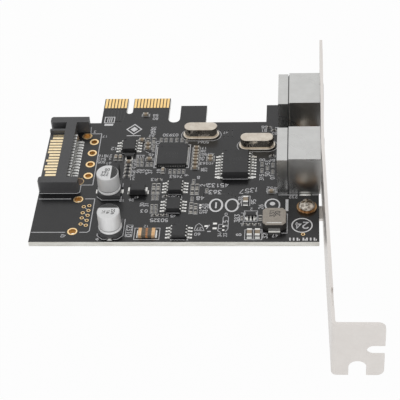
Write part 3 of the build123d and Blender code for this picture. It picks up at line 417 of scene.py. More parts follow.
NUMBER_ROWS: dict[tuple[Turn, float], tuple[tuple[str, float, float], ...]] = {
    (Turn.ACROSS, 0.8): (("47", 29.8, -17.0), ("41", 5.7, -45.6), ("12", 9.6, -57.5),
        ("402", 25.9, -26.9), ("01", 35.0, -22.0)),
    (Turn.ACROSS, 0.9): (("17", -6.3, -18.4), ("3", -9.6, -16.2), ("3", -3.6, -28.7),
        ("6", 7.6, -35.4), ("26", 4.4, -46.7), ("18", 1.7, -46.9), ("45", 16.7, -53.4),
        ("17", 23.8, -24.1), ("28", 23.7, -25.5), ("502", 23.6, -27.0), ("403", 25.8, -31.0),
        ("27", 24.3, -58.5), ("2", 38.5, -50.6)),
    (Turn.ACROSS, 1.0): (("816", -6.1, -27.4), ("542", -6.1, -28.8), ("305", -6.0, -30.2),
        ("27", -4.0, -27.4), ("61", -3.9, -30.8), ("58", 8.1, -8.6), ("80", 8.2, -10.2),
        ("35", 8.1, -14.7), ("35", 8.0, -15.9), ("26", 8.1, -17.1), ("62", 7.7, -18.4),
        ("45", 8.4, -27.0), ("318", 5.3, -28.0), ("52", 3.3, -29.6), ("53", 3.5, -31.2),
        ("46", 3.5, -32.8), ("28", 3.6, -34.4), ("29", 3.6, -36.0), ("31", 3.7, -37.6),
        ("17587", 16.9, -45.5), ("63", 23.7, -31.0), ("6", 25.6, -40.4), ("0", 23.5, -60.7),
        ("6", 24.4, -60.7), ("0", 31.5, -52.7), ("47", 45.2, -61.3), ("232", 50.1, -45.6),
        ("82", 44.3, -17.6), ("00", 41.0, -29.6), ("84", 43.9, -29.8), ("5064", 23.3, -21.4),
        ("2", -13.5, -61.3), ("4", -12.8, -61.3), ("718", 37.1, -26.6)),
    (Turn.ACROSS, 1.1): (("03930", 13.4, -18.0), ("43", 10.1, -38.0), ("3", 7.8, -51.3),
        ("0", 9.0, -51.3), ("8", 22.9, -37.2), ("0", 42.9, -43.2), ("5", 45.2, -43.2),
        ("38", 41.3, -14.6), ("81", 41.2, -16.2)),
    (Turn.ACROSS, 1.15): (("7453", 16.4, -36.7),),
    (Turn.ACROSS, 1.2): (("42", -2.9, -24.1), ("50325", 12.9, -55.1), ("452", 44.0, -42.0)),
    (Turn.ACROSS, 1.4): (("48", 23.9, -46.0),),
    (Turn.ACROSS, 1.45): (("45132", 28.6, -40.6),),
    (Turn.ACROSS, 1.5): (("363", 28.0, -43.5),),
    (Turn.ACROSS, 2.4): (("24", 52.5, -57.2),),
    (Turn.DOWN, 1.3): (("2310", 5.0, -59.4),),
    (Turn.UP, 0.9): (("1", 30.1, -58.4), ("34", 30.1, -61.0), ("23", 31.6, -61.0)),
    (Turn.UP, 1.0): (("5", 7.4, -34.0), ("9", 19.4, -36.2), ("30", 7.6, -48.7), ("31", 8.9, -48.7),
        ("35", 24.0, -33.8), ("25", 24.6, -33.8), ("52", 24.6, -51.6), ("46", 25.7, -51.6),
        ("3", 31.5, -57.4), ("3", 45.1, -15.0)),
    (Turn.UP, 1.1): (("21", 4.6, -34.4), ("20", 5.5, -34.4), ("18", 6.4, -34.4),
        ("37", 8.7, -34.6), ("19", 11.2, -34.4), ("45", 23.5, -28.9), ("5", 31.5, -55.6),
        ("24", 35.9, -54.4), ("38", 35.3, -46.3), ("315", 41.0, -37.2), ("07", 44.1, -37.2),
        ("53", 42.6, -30.8)),
    (Turn.UP, 1.2): (("2", 24.3, -40.6), ("35", 24.6, -49.4), ("50", 25.7, -49.4),
        ("95", 39.0, -47.6), ("26", 41.1, -49.7), ("32", 42.5, -61.4), ("50", 42.6, -35.8)),
    (Turn.UP, 1.3): (("383", 34.6, -54.4), ("8", 35.3, -60.9)),
}


def islands(node: str) -> np.ndarray:
    """Boxes of a node's separate solids, in millimetres.

    Vertices at the same place are merged, then each takes the least label among its neighbours
    until no label changes.

    Args:
        node: Name of the CAD node.

    Returns:
        Array of shape (solids, 2, 3) with lowest and highest corners.
    """
    mesh = frame["nodes"][node].data
    points = np.empty(len(mesh.vertices) * 3)
    mesh.vertices.foreach_get("co", points)
    points = points.reshape(-1, 3) / MM
    edges = np.empty(len(mesh.edges) * 2, dtype=int)
    mesh.edges.foreach_get("vertices", edges)
    _, merged = np.unique(np.round(points, 4), axis=0, return_inverse=True)
    merged = merged.reshape(-1)
    ends = merged[edges.reshape(-1, 2)]
    label = np.arange(merged.max() + 1)
    while True:
        least = label[ends].min(axis=1)
        fresh = label.copy()
        np.minimum.at(fresh, ends, least[:, None])
        if np.array_equal(fresh, label):
            break
        label = fresh
    names, group = np.unique(label[merged], return_inverse=True)
    low = np.full((len(names), 3), np.inf)
    high = np.full((len(names), 3), -np.inf)
    np.minimum.at(low, group.reshape(-1), points)
    np.maximum.at(high, group.reshape(-1), points)
    return np.stack([low, high], axis=1)


@dataclass
class Layer:
    """One piece made of many thin solids, gathered and then turned into a mesh."""

    name: str
    finish: str
    base: float = 0.0
    height: float = PRINT_HEIGHT
    points: list[np.ndarray] = field(default_factory=list)
    faces: list[list[int]] = field(default_factory=list)
    count: int = 0

    def solid(self, points: np.ndarray, faces: list[list[int]]) -> None:
        """Add one closed solid.

        Args:
            points: Array (n, 3) in millimetres.
            faces: Vertex indices of each face, outward.
        """
        self.points.append(points)
        self.faces.extend([[self.count + i for i in face] for face in faces])
        self.count += len(points)

    def tube(self, rings: np.ndarray | list[np.ndarray], loop: bool = False) -> None:
        """Add one closed solid from rings of points, anticlockwise as seen from the last ring.

        Args:
            rings: Arrays (k, 3), all of one size.
            loop: Whether the last ring joins the first.
        """
        self.solid(np.vstack(rings), tube_faces(len(rings), len(rings[0]), loop))

    def ribbon(self, path: np.ndarray, width: float, closed: bool = False) -> None:
        """Add a flat line of constant width along a path.

        Each point moves by half the width along its mitre, the mean of the normals of its two
        runs divided by the cosine of half the turn, which is kept above 0.6.

        Args:
            path: Array (n, 2) of points.
            width: Line width.
            closed: Whether the last point joins the first.
        """
        path = np.asarray(path, float)
        step = np.roll(path, -1, 0) - path if closed else np.diff(path, axis=0)
        step = step / np.linalg.norm(step, axis=1, keepdims=True)
        normal = np.stack([-step[:, 1], step[:, 0]], axis=1)
        if closed:
            before, after = np.roll(normal, 1, 0), normal
        else:
            before = np.vstack([normal[:1], normal])
            after = np.vstack([normal, normal[-1:]])
        mitre = before + after
        size = np.linalg.norm(mitre, axis=1, keepdims=True)
        mitre = mitre / np.maximum(size, 1e-6)
        cosine = np.maximum(np.sum(mitre * after, axis=1, keepdims=True), 0.6)
        offset = mitre * (width / 2) / cosine
        left, right = path + offset, path - offset
        top = self.base + self.height
        corners = [at_height(left, top), at_height(right, top), at_height(right, self.base),
                   at_height(left, self.base)]
        self.tube(np.stack(corners, axis=1), closed)

    def line(self, *points: Point, width: float = 0.22, closed: bool = False) -> None:
        """Add a line through points."""
        self.ribbon(np.array(points), width, closed)

    def lines(self, paths: tuple[Profile, ...], width: float) -> None:
        """Add a line of one width through each path."""
        for path in paths:
            self.line(*path, width=width)

    def frame(self, x0: float, y0: float, x1: float, y1: float, width: float = 0.2) -> None:
        """Add a rectangular outline."""
        self.line((x0, y0), (x1, y0), (x1, y1), (x0, y1), width=width, closed=True)

    def arc(self, x: float, y: float, rx: float, ry: float, width: float, start: float = 0.0,
            end: float = 360.0) -> None:
        """Add an arc, centre plus (rx cos t, ry sin t) for t from start to end in degrees."""
        whole = abs(end - start) >= 360
        t = np.radians(np.linspace(start, end, 33, endpoint=not whole))
        self.ribbon(ellipse(x, y, rx, ry, t), width, whole)

    def plate(self, outline: np.ndarray) -> None:
        """Add a flat plate with a convex outline given anticlockwise."""
        outline = np.asarray(outline, float)
        self.tube([at_height(outline, z) for z in (self.base, self.base + self.height)])

    def dot(self, x: float, y: float, radius: float) -> None:
        """Add a round dot."""
        self.plate(ellipse(x, y, radius, radius, once_round(16)))

    def number(self, text: str, x: float, y: float, size: float = 1.1,
               turn: Turn = Turn.ACROSS, weight: float = 0.18) -> None:
        """Add a row of plain digits centred on a point.

        Args:
            text: Digits.
            x: Centre of the row.
            y: Centre of the row.
            size: Height of a digit.
            turn: Reading direction.
            weight: Line width as a share of the height.
        """
        angle = math.radians(turn.value)
        spin = np.array([[math.cos(angle), math.sin(angle)], [-math.sin(angle), math.cos(angle)]])
        start = -((len(text) - 1) * GLYPH_ADVANCE + GLYPH_WIDTH) / 2
        for index, digit in enumerate(text):
            local = np.array(GLYPHS[digit]) + [start + index * GLYPH_ADVANCE, -0.5]
            self.ribbon(local * size @ spin + [x, y], weight * size)

    def finish_piece(self, materials: Materials) -> None:
        """Make the mesh object, dress it and let it ride on the card.

        Args:
            materials: Built materials by name.
        """
        mesh = bpy.data.meshes.new(self.name)
        points = np.vstack(self.points) * MM
        mesh.from_pydata(points.tolist(), [], self.faces)
        mesh.validate()
        mesh.update()
        mesh.materials.append(materials[self.finish])
        piece = place_object(self.name, mesh)
        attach(piece, "root")
        LOG.info("%s: %d faces", self.name, len(mesh.polygons))


@dataclass
class Wardrobe:
    """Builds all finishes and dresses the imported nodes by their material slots."""

    materials: Materials = field(default_factory=dict)
    special: dict[str, str] = field(default_factory=lambda: {
        "fuse_terminals": "fuse_gold", "large_plated_holes": "plated_hole",
        "small_plated_holes": "plated_hole", "power_plug_contacts": "plug_strip",
        "chip_capacitor_ends": "chip_tin", "chip_resistor_ends": "chip_tin"})

    def build(self) -> None:
        """Build every finish."""
        for finish in FINISHES:
            self.materials[finish.name] = finish.build()

    def dress(self) -> None:
        """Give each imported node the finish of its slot."""
        for part in frame["record"]["subparts"]:
            node, slot = part["node"], part["material_slot"]
            material = self.materials[self.special.get(node, slot)]
            for material_slot in frame["nodes"][node].material_slots:
                material_slot.material = material
            LOG.info("%s wears %s", node, material.name)


@dataclass
class BoardPrint:
    """White print on the component side: outlines, plain marks and plain numbers."""

    crystal_middle: float = 3.25
    crystal_round: float = 2.68
    small_chip_half: Point = (1.9, 2.68)
    outlines: Layer = field(default_factory=lambda: Layer("print_outlines", "print_white"))
    frames: Layer = field(default_factory=lambda: Layer("print_chip_frames", "print_soft"))
    marks: Layer = field(default_factory=lambda: Layer("print_marks", "print_bright"))
    numbers: Layer = field(default_factory=lambda: Layer("print_numbers", "print_white"))

    def drawn_outlines(self) -> None:
        """The drawn paths, and the outlines of the small chips, boxed parts and crystals."""
        ink = self.outlines
        for width, paths in OUTLINES.items():
            ink.lines(paths, width)
        ink.lines(tuple(((-8.4, y), (-7.8, y - 0.6)) for y in (-50.0, -52.2, -54.3, -56.4)), 0.15)
        ink.arc(9.9, -21.4, 0.55, 0.55, 0.2)
        ink.arc(31.5, -54.2, 0.75, 0.75, 0.18, end=180.0)
        half, edge = self.small_chip_half
        for x, y in SMALL_CHIP_SPOTS:
            ink.lines(tuple(((x - half, z), (x + half, z)) for z in (y - edge, y + edge)), 0.18)
            ink.dot(x - 2.4, y + 2.6, 0.2)
        for corners in ((6.55, -62.8, 13.5, -58.25), (36.6, -55.55, 40.2, -51.35),
                        (36.96, -62.87, 41.64, -58.95)):
            ink.frame(*corners, 0.2)
        half_turn, r = np.linspace(-np.pi / 2, np.pi / 2, 17), self.crystal_round
        for x, y in CRYSTAL_SPOTS:
            right = ellipse(x + self.crystal_middle, y, r, r, half_turn)
            left = ellipse(x - self.crystal_middle, y, r, r, half_turn + np.pi)
            ink.ribbon(np.vstack([right, left]), 0.16, True)

    def chip_parts(self) -> None:
        """A frame round each small chip part, from its body's box.

        The frame is the body's box grown by the end, the pad and a margin along its length, and
        by a margin across.
        """
        for node, along, across in (("chip_capacitor_bodies", 0.74, 0.24),
                                    ("chip_resistor_bodies", 0.66, 0.2)):
            for low, high in islands(node):
                size = high - low
                grow = np.array([along, across] if size[0] > size[1] * 1.05 else [across, along])
                x0, y0 = low[:2] - grow
                x1, y1 = high[:2] + grow
                self.frames.frame(x0, y0, x1, y1, 0.15)

    def plain_marks(self) -> None:
        """Large plain shapes: a banded square, nested squares, rings, bars and a triangle."""
        m = self.marks
        m.frame(-7.2, -12.0, -4.3, -9.3, 0.26)
        m.lines(tuple(((x, -11.6), (x, -9.7)) for x in (-6.3, -5.7, -5.1)), 0.26)
        m.line((2.2, -12.9), (4.4, -15.2), (2.2, -17.5), (0.0, -15.2), closed=True, width=0.36)
        m.line((28.5, -50.2), (28.5, -47.8), width=0.45)
        for ring in ((28.5, -49.0, 1.75, 2.5, 0.52), (33.0, -49.0, 1.75, 2.5, 0.52),
                     (44.3, -48.9, 2.0, 2.4, 0.42), (52.55, -57.2, 2.75, 2.75, 0.34)):
            m.arc(*ring)
        m.dot(44.3, -48.4, 0.75)
        for outline in (((-7.1, -13.4), (-4.5, -13.4), (-4.4, -12.5), (-7.1, -12.5)),
                        ((2.2, -16.4), (3.35, -15.2), (2.2, -14.0), (1.05, -15.2)),
                        ((47.95, -51.4), (48.75, -51.4), (48.75, -46.6), (47.95, -46.6)),
                        ((-0.75, -63.2), (0.65, -63.2), (-0.05, -62.5))):
            m.plate(outline)
        m.lines(tuple(((x, -63.2), (x, -62.1))
                      for x in (49.3, 50.3, 51.3, 52.9, 53.9, 54.9, 55.9)), 0.42)
        m.lines(tuple(((x, -63.2), (x, -62.6)) for x in (51.8, 53.4, 56.4)), 0.3)
        m.lines(tuple(((x, -62.9), (x + 0.45, -62.9)) for x in np.arange(16.6, 21.3, 0.9)), 0.3)
        m.lines((((0.2, -18.2), (4.4, -18.2)), ((-3.5, -62.2), (-3.5, -63.1)),
                 ((-3.95, -62.65), (-3.05, -62.65))), 0.3)

    def number_rows(self) -> None:
        """Plain numbers beside the parts."""
        for (turn, size), rows in NUMBER_ROWS.items():
            for text, x, y in rows:
                self.numbers.number(text, x, y, size, turn)
        for text, x, y in (("7", 35.6, -43.2), ("5", 37.0, -43.0), ("3", 38.4, -42.7),
                           ("1", 39.6, -42.4)):
            self.numbers.number(text, x, y, 1.7, Turn.SLANTED, 0.13)
        self.numbers.lines(tuple(((6.6, y), (7.6, y - 0.5)) for y in (-21.9, -23.2, -24.5, -25.6)),
                           0.16)

    def build(self, materials: Materials) -> None:
        """Draw everything and make the four pieces."""
        self.drawn_outlines()
        self.chip_parts()
        self.plain_marks()
        self.number_rows()
        for layer in (self.outlines, self.frames, self.marks, self.numbers):
            layer.finish_piece(materials)


@dataclass
class PartPrint:
    """Print on the tops of the capacitors, the inductor and the chips, and a painted highlight on
    the inductor.
    """

    cap_radius: float = 2.63
    cap_top: float = 7.4
    chord: float = 1.15
    edge_centre: Point = (2.65, 6.9)
    edge_skins: Point = (0.49, 0.515)
    steps: int = 21

    def segment_band(self, layer: Layer, x: float, y: float, towards: Axis) -> None:
        """Carry the black segment over the can's rounded edge.

        A skin of radius s about the edge's centre (r0, z0) has the points r = r0 + s sin a,
        z = z0 + s cos a for a of 0, 19 and 38 degrees. Each is carried round the can from
        -acos(c/r) to acos(c/r), so that the band's ends stay on the chord.

        Args:
            layer: Layer that takes the solid.
            x: Centre of the can.
            y: Centre of the can.
            towards: Axis that the segment lies on, as seen from the centre.
        """
        inner, outer = self.edge_skins
        bends = np.radians([0.0, 19.0, 38.0])
        skins = np.repeat([outer, inner], len(bends))
        angles = np.concatenate([bends, bends[::-1]])
        radius = self.edge_centre[0] + skins * np.sin(angles)
        z = self.edge_centre[1] + skins * np.cos(angles)
        t = np.linspace(-1, 1, self.steps)[:, None] * np.arccos(self.chord / radius)[None, :]
        u, v = radius * np.cos(t), radius * np.sin(t)
        if towards is Axis.Y:
            u, v = -v, u
        layer.tube(np.stack([x + u, y + v, np.broadcast_to(z, u.shape)], axis=2))

    def capacitor_tops(self, materials: Materials) -> None:
        """Black segment and dark numbers on each can.

        The segment is the part of the circle beyond the chord, so t runs from -acos(c/r) to
        acos(c/r) on (r cos t, r sin t).
        """
        black = Layer("capacitor_marks", "print_black", self.cap_top, 0.015)
        dark = Layer("capacitor_numbers", "print_black", self.cap_top, 0.015)
        r = self.cap_radius
        t = np.linspace(-1, 1, self.steps) * math.acos(self.chord / r)
        wedge = ellipse(0.0, 0.0, r, r, t)
        turned = np.stack([-wedge[:, 1], wedge[:, 0]], axis=1)
        for x, y, towards, outline in ((-2.15, -43.09, Axis.X, wedge),
                                       (-0.13, -59.08, Axis.Y, turned)):
            black.plate(outline + [x, y])
            self.segment_band(black, x, y, towards)
        for text, x, y, turn in (
                ("220", -2.75, -44.35, Turn.ACROSS), ("164", -2.65, -43.2, Turn.ACROSS),
                ("05", -2.2, -42.05, Turn.ACROSS), ("226", 1.25, -59.5, Turn.DOWN),
                ("16", -0.1, -59.6, Turn.DOWN), ("71", -1.4, -59.6, Turn.DOWN)):
            dark.number(text, x, y, 0.85, turn, 0.2)
        black.finish_piece(materials)
        dark.finish_piece(materials)

    def chip_tops(self, materials: Materials) -> None:
        """Faint numbers on the chips, dark ones on the inductor, and a pale line painted near its
        front top edge as a highlight.
        """
        for layer, rows, turn, weight in (
                (Layer("chip_numbers", "mask_relief", 0.9, 0.01),
                 (("1024", 14.66, -27.3, 1.2), ("0357", 14.66, -29.0, 1.0)), Turn.ACROSS, 0.1),
                (Layer("wide_chip_numbers", "mask_relief", 2.5, 0.01),
                 (("2048", 33.45, -32.0, 1.2), ("1163", 33.45, -33.8, 1.0)), Turn.ACROSS, 0.1),
                (Layer("inductor_numbers", "print_black", 3.0, 0.012),
                 (("331", 44.4, -55.6, 1.2), ("20", 45.9, -55.6, 1.2)), Turn.UP, 0.18)):
            for text, x, y, size in rows:
                layer.number(text, x, y, size, turn, weight)
            layer.finish_piece(materials)
        low, high = (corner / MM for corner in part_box("inductor_body"))
        # A thin pale line near the front of the inductor's top: a painted highlight for light
        # caught by the rounded front edge.
        edge_highlight = Layer("inductor_painted_highlight", "solder_bright", high[2], 0.012)
        edge_highlight.line((low[0] + 1.2, low[1] + 0.3), (high[0] - 1.2, low[1] + 0.3), width=0.26)
        edge_highlight.finish_piece(materials)

    def build(self, materials: Materials) -> None:
        """Make every print on a part and the inductor's painted highlight."""
        self.capacitor_tops(materials)
        self.chip_tops(materials)


@dataclass
class SolderWork:
    """Concave fillets of solder at chip ends and lead toes, and a dark brown disc over one filled
    hole, darkened as painted shade.
    """

    steps: int = 5
    pad_top: float = 0.05
    most_climb: float = 0.55
    toe_top: float = 0.3
    shaded_fill_centre: Point = (-11.7, -38.8)
    shaded_fill_radius: float = 1.42

    def fillets(self, layer: Layer, boxes: np.ndarray, bodies: np.ndarray, reach: float,
                climb: float, grow: float = 0.0) -> None:
        """Add one fillet outside each box, on the side away from the nearest body's centre.

        The profile is s = reach (1 - sin a), z = climb (1 - cos a) for a from 0 to 90 degrees:
        it leaves the pad level and ends upright on the metal. It is carried across the width.

        Args:
            layer: Layer that takes the solids.
            boxes: Array (m, 2, 3) of metal ends.
            bodies: Array (k, 2, 3) of the parts' bodies.
            reach: How far the fillet runs out over the pad.
            climb: Share of the end's height that it climbs.
            grow: Extra half width.
        """
        low, high = boxes[:, 0], boxes[:, 1]
        rows = np.arange(len(boxes))
        middles, centres = boxes.mean(axis=1)[:, :2], bodies.mean(axis=1)[:, :2]
        gaps = np.linalg.norm(middles[:, None] - centres, axis=2)
        away = middles - centres[np.argmin(gaps, axis=1)]
        axis = (np.abs(away[:, 1]) > np.abs(away[:, 0])).astype(int)
        sign = np.sign(away[rows, axis])
        face = np.where(sign > 0, high[rows, axis], low[rows, axis])
        across = np.stack([low[rows, 1 - axis] - grow, high[rows, 1 - axis] + grow], axis=1)
        height = np.minimum((high[:, 2] - self.pad_top) * climb, self.most_climb)
        a = np.linspace(0, np.pi / 2, self.steps)
        out = np.concatenate([[0.0], reach * (1 - np.sin(a))])
        up = np.concatenate([[0.0], 1 - np.cos(a)])
        rings = np.empty((len(boxes), 2, len(out), 3))
        rings[rows, :, :, axis] = (face[:, None] + sign[:, None] * out)[:, None]
        rings[rows, :, :, 1 - axis] = across[:, :, None]
        rings[..., 2] = (self.pad_top + height[:, None] * up)[:, None]
        turned = (sign > 0) == (axis == 0)
        rings[turned] = rings[turned, ::-1]
        for pair in rings:
            layer.tube(pair)

    def build(self, materials: Materials) -> None:
        """Make the fillets of the chip parts and of the leads, and the dark disc of painted shade
        over the filled hole.
        """
        chips = Layer("chip_part_fillets", "solder_dull")
        large = Layer("large_part_fillets", "solder_bright")
        for layer, ends, bodies, reach in (
                (chips, "chip_capacitor_ends", "chip_capacitor_bodies", 0.22),
                (chips, "chip_resistor_ends", "chip_resistor_bodies", 0.22),
                (large, "bulk_capacitor_ends", "bulk_capacitor_bodies", 0.24),
                (large, "fuse_terminals", "fuse_body", 0.5)):
            self.fillets(layer, islands(ends), islands(bodies), reach, 0.7)
        chips.finish_piece(materials)
        large.finish_piece(materials)
        toes = Layer("lead_fillets", "solder_bright")
        for stem in ("interface_chip", "small_chip_1", "small_chip_2", "small_chip_3",
                     "small_chip_4", "regulator"):
            boxes = islands(f"{stem}_leads")
            boxes[:, 1, 2] = self.toe_top
            self.fillets(toes, boxes, islands(f"{stem}_body"), 0.4, 0.9, 0.04)
        toes.finish_piece(materials)
        # A dark brown disc over the plated ring of the hole beside the plug: the hole is filled,
        # and the dark brown is painted shade from the plug.
        shaded_fill = Layer("locator_hole_shaded_fill", "painted_shade_brown",
                       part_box("large_plated_holes")[1][2] / MM, 0.02)
        shaded_fill.dot(*self.shaded_fill_centre, self.shaded_fill_radius)
        shaded_fill.finish_piece(materials)


@dataclass
class CanTrim:
    """Rolled lower lips of the two capacitor cans, and above them dark rings of painted shade
    standing in for a groove.
    """

    sides: int = 64
    lip: Profile = ((1.32, 2.9), (1.32, 3.16), (1.42, 3.24), (1.6, 3.28), (1.8, 3.26),
                    (1.96, 3.18), (2.04, 3.06), (2.04, 2.9))
    # Profile of the dark ring just above the lip: painted shade where the can's groove would be.
    shade_ring: Profile = ((2.06, 2.8), (2.06, 2.98), (2.16, 3.06), (2.34, 3.06), (2.44, 2.98),
                     (2.44, 2.8))

    def build(self, materials: Materials) -> None:
        """Turn both profiles round the centre of each can's box.

        Profile point (z, r) gives the ring (x + r cos u, y + r sin u, z). Each profile runs from
        its inner lower corner outward.
        """
        u = once_round(self.sides)
        for name, finish, profile in (("can_lower_lips", "can_lip", self.lip),
                                      ("can_groove_shade_rings", "can_groove_shade", self.shade_ring)):
            rings = Layer(name, finish)
            for index in (1, 2):
                low, high = (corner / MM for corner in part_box(f"capacitor_{index}_can"))
                x, y, _ = (low + high) / 2
                rings.tube([at_height(ellipse(x, y, r, r, u), z) for z, r in profile], loop=True)
            rings.finish_piece(materials)


@dataclass
class Copper:
    """Tracks and vias that show as low relief under the solder mask."""

    width: float = 0.25
    via_radius: float = 0.32
    upper_height: float = 0.012
    lower_height: float = 0.03

    def track(self, layer: Layer, *points: Point) -> None:
        """Add one track with a via dot at each end."""
        layer.line(*points, width=self.width)
        for x, y in (points[0], points[-1]):
            layer.dot(x, y, self.via_radius)

    def build(self, materials: Materials) -> None:
        """Make the tracks of both faces."""
        upper = Layer("component_side_tracks", "mask_relief", 0.0, self.upper_height)
        for i in range(6):
            self.track(upper, (-6.5 + i, -5.4), (-6.5 + i, -8.2 - 0.5 * i),
                       (-4.9 + 0.5 * i, -11.4))
        for i in range(5):
            self.track(upper, (24.6, -44.2 - 0.6 * i), (32.0 + i, -44.2 - 0.6 * i))
            self.track(upper, (27.0 + 1.2 * i, -15.9), (27.0 + 1.2 * i, -19.0))
        self.track(upper, (-5.0, -36.5), (-5.0, -33.0), (-3.4, -31.4))
        self.track(upper, (45.6, -20.5), (45.6, -40.0))
        upper.finish_piece(materials)
        lower = Layer("solder_side_tracks", "mask_relief", -BOARD_THICK - self.lower_height,
                      self.lower_height)
        for i in range(8):
            x = -7.4 + 0.85 * i
            self.track(lower, (x, -5.6), (x, -11.0 - 0.9 * i), (x - 2.0, -13.0 - 0.9 * i),
                       (x - 2.0, -30.0 - i))
        for i in range(9):
            x = 2.5 + 0.9 * i
            self.track(lower, (x, -5.6), (x, -10.0 - 0.8 * i), (x + 9.0, -19.0 - 0.8 * i),
                       (x + 9.0, -30.0 - i))
        for i in range(6):
            y = -26.0 - 1.9 * i
            self.track(lower, (44.0, y), (38.0, y), (34.0 - i, y - 4.0), (28.0 - i, y - 4.0))
            self.track(lower, (-5.0 + i, -46.0 - 1.4 * i), (12.0 + i, -46.0 - 1.4 * i),
                       (16.0 + i, -50.0 - 1.4 * i), (34.0 - i, -50.0 - 1.4 * i))
        lower.finish_piece(materials)
        ink = Layer("solder_side_print", "print_white", -BOARD_THICK - PRINT_HEIGHT)
        for corners in ((-21.9, -43.7, -11.2, -13.8), (-21.9, -59.9, -6.1, -46.2),
                        (46.4, -44.3, 56.6, -30.3), (46.4, -19.3, 56.6, -5.3)):
            ink.frame(*corners, 0.22)
        for x, y in CRYSTAL_SPOTS:
            ink.frame(x - 5.6, y - 2.3, x + 5.6, y + 2.3, 0.2)
        ink.finish_piece(materials)


@dataclass
class JackTrim:
    """Rolled edges beside the seam of each jack's shield, and the solder of its legs."""

    labels: tuple[str, str] = ("front", "rear")
    radius: float = 0.11
    leg_back: float = 7.85
    leg_size: Triple = (1.7, 0.42, 0.3)
    gap: float = 0.02
    bead_sides: int = 12
    bead_inset: float = 0.12
    bead_margin: float = 0.15
    mound_sides: int = 20

    def mound(self, layer: Layer, x: float, y: float) -> None:
        """Add a low oval mound of solder.

        The ring at angle a of 0, 25, 50 or 72 degrees is the ellipse (rx cos a, ry cos a) at
        height h sin a above the foot, and the top is one point.

        Args:
            layer: Layer that takes the solid.
            x: Centre.
            y: Centre.
        """
        rx, ry, height = self.leg_size
        n, u = self.mound_sides, once_round(self.mound_sides)
        rings = [at_height(ellipse(x, y, rx * math.cos(a), ry * math.cos(a), u),
                           self.gap + height * math.sin(a))
                 for a in np.radians([0.0, 25.0, 50.0, 72.0])]
        last, top = (len(rings) - 1) * n, len(rings) * n
        fan = [[last + i, last + (i + 1) % n, top] for i in range(n)]
        layer.solid(np.vstack([*rings, [[x, y, self.gap + height]]]),
                    tube_faces(len(rings), n)[:-1] + fan)

    def build(self, materials: Materials) -> None:
        """Make upright round beads and mounds of both jacks from their shields' boxes."""
        r, u = self.radius, once_round(self.bead_sides)
        edges = Layer("jack_seam_edges", "jack_tinplate")
        mounds = Layer("jack_leg_solder", "solder_bright")
        for label in self.labels:
            low, high = (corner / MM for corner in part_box(f"{label}_jack_shield"))
            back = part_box(f"{label}_jack_back_cover")[0][0] / MM
            for y in (low[1] - self.gap, high[1] + self.gap):
                ring = ellipse(low[0] + self.bead_inset, y, r, r, u)
                edges.tube([at_height(ring, z)
                            for z in (self.bead_margin, high[2] - self.bead_margin)])
            self.mound(mounds, back + self.leg_back, low[1] - self.leg_size[1] - self.gap)
        edges.finish_piece(materials)
        mounds.finish_piece(materials)


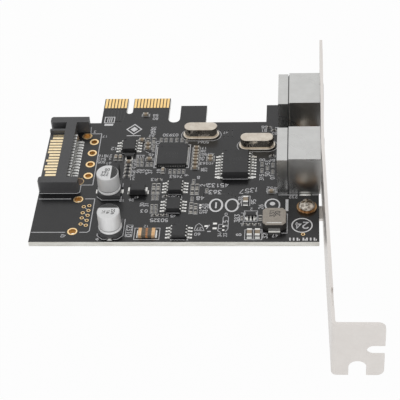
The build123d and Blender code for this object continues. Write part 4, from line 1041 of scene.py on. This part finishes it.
@dataclass
class Studio:
    """Floor, lamps, sky and camera."""

    position: Triple = (0.05430, -0.32027, 0.24955)
    yaw: float = -6.33
    pitch: float = 42.04
    roll: float = -4.42
    focal_pixels: float = 1318.8
    centre_y: float = 196.2
    soft_light: float = 0.38
    aim: Triple = (0.02, -0.035, 0.0)
    floor_z: float = -0.09
    floor_half: float = 2.0

    def camera(self) -> None:
        """Place the camera.

        Forward is (sin yaw cos pitch, cos yaw cos pitch, -sin pitch), right is (cos yaw,
        -sin yaw, 0), and both are then turned by the roll. The view is aimed so that the image
        centre falls where the principal point's offset puts it.
        """
        yaw, pitch, roll = (math.radians(v) for v in (self.yaw, self.pitch, self.roll))
        forward = Vector((math.sin(yaw) * math.cos(pitch), math.cos(yaw) * math.cos(pitch),
                          -math.sin(pitch)))
        right = Vector((math.cos(yaw), -math.sin(yaw), 0.0))
        up = right.cross(forward)
        right, up = (right * math.cos(roll) + up * math.sin(roll),
                     up * math.cos(roll) - right * math.sin(roll))
        drop = PICTURE_SIDE / 2 - self.centre_y
        forward = (forward * self.focal_pixels - up * drop).normalized()
        up = right.cross(forward)
        data = bpy.data.cameras.new("photo_camera")
        data.sensor_width = SENSOR_SIDE
        data.lens = self.focal_pixels / PICTURE_SIDE * SENSOR_SIDE
        data.clip_start, data.clip_end = 0.01, 10.0
        camera = place_object("photo_camera", data)
        turn = Matrix((right, up, -forward)).transposed()
        camera.matrix_world = Matrix.Translation(self.position) @ turn.to_4x4()
        bpy.context.scene.camera = camera

    def lamp(self, name: str, place: Triple, size: float, power: float) -> None:
        """Add a square soft lamp aimed at the card, left out of glossy reflections.

        Args:
            name: Lamp name.
            place: Position in metres.
            size: Side of the square.
            power: Power in watts.
        """
        data = bpy.data.lights.new(name, "AREA")
        data.size = size
        data.energy = power
        lamp = place_object(name, data)
        lamp.visible_glossy = False
        turn = (Vector(self.aim) - Vector(place)).to_track_quat("-Z", "Y")
        lamp.matrix_world = Matrix.Translation(place) @ turn.to_matrix().to_4x4()

    def sky(self) -> None:
        """Plain white where a camera, glossy or transmission ray leaves, softer for the rest."""
        world = bpy.data.worlds.new("studio")
        world.use_nodes = True
        tree = world.node_tree
        tree.nodes.clear()
        path = tree.nodes.new("ShaderNodeLightPath")
        clear = add_math(tree, "MAXIMUM")
        seen = add_math(tree, "MAXIMUM")
        soft = tree.nodes.new("ShaderNodeBackground")
        soft.inputs["Strength"].default_value = self.soft_light
        white = tree.nodes.new("ShaderNodeBackground")
        mix = tree.nodes.new("ShaderNodeMixShader")
        output = tree.nodes.new("ShaderNodeOutputWorld")
        for node in (soft, white):
            node.inputs["Color"].default_value = (1.0, 1.0, 1.0, 1.0)
        wire(tree, (path, "Is Transmission Ray", clear, 0), (path, "Is Glossy Ray", clear, 1),
             (path, "Is Camera Ray", seen, 0), (clear, 0, seen, 1), (seen, 0, mix, "Fac"),
             (soft, "Background", mix, 1), (white, "Background", mix, 2),
             (mix, "Shader", output, "Surface"))
        bpy.context.scene.world = world

    def floor(self, materials: Materials) -> None:
        """Add a wide pale floor below the card."""
        half, z = self.floor_half, self.floor_z
        mesh = bpy.data.meshes.new("floor")
        corners = [(-half, -half, z), (half, -half, z), (half, half, z), (-half, half, z)]
        mesh.from_pydata(corners, [], [(0, 1, 2, 3)])
        mesh.materials.append(materials["floor_white"])
        plane = place_object("floor", mesh)

    def build(self, materials: Materials) -> None:
        """Set up the whole studio."""
        bpy.context.scene.view_settings.view_transform = "Standard"
        self.camera()
        self.sky()
        self.floor(materials)
        self.lamp("key_lamp", (-0.12, 0.50, 0.62), 0.35, 1.5)
        self.lamp("fill_lamp", (0.05, -0.75, 0.32), 0.6, 2.0)


def main() -> None:
    """Build the card's dressing in order."""
    logging.basicConfig(level=logging.INFO, format="%(name)s %(message)s")
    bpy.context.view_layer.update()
    wardrobe = Wardrobe()
    wardrobe.build()
    wardrobe.dress()
    for dressing in (BoardPrint(), PartPrint(), SolderWork(), Copper(), JackTrim(), CanTrim(),
                     Studio()):
        dressing.build(wardrobe.materials)


if __name__ == "__main__":
    main()
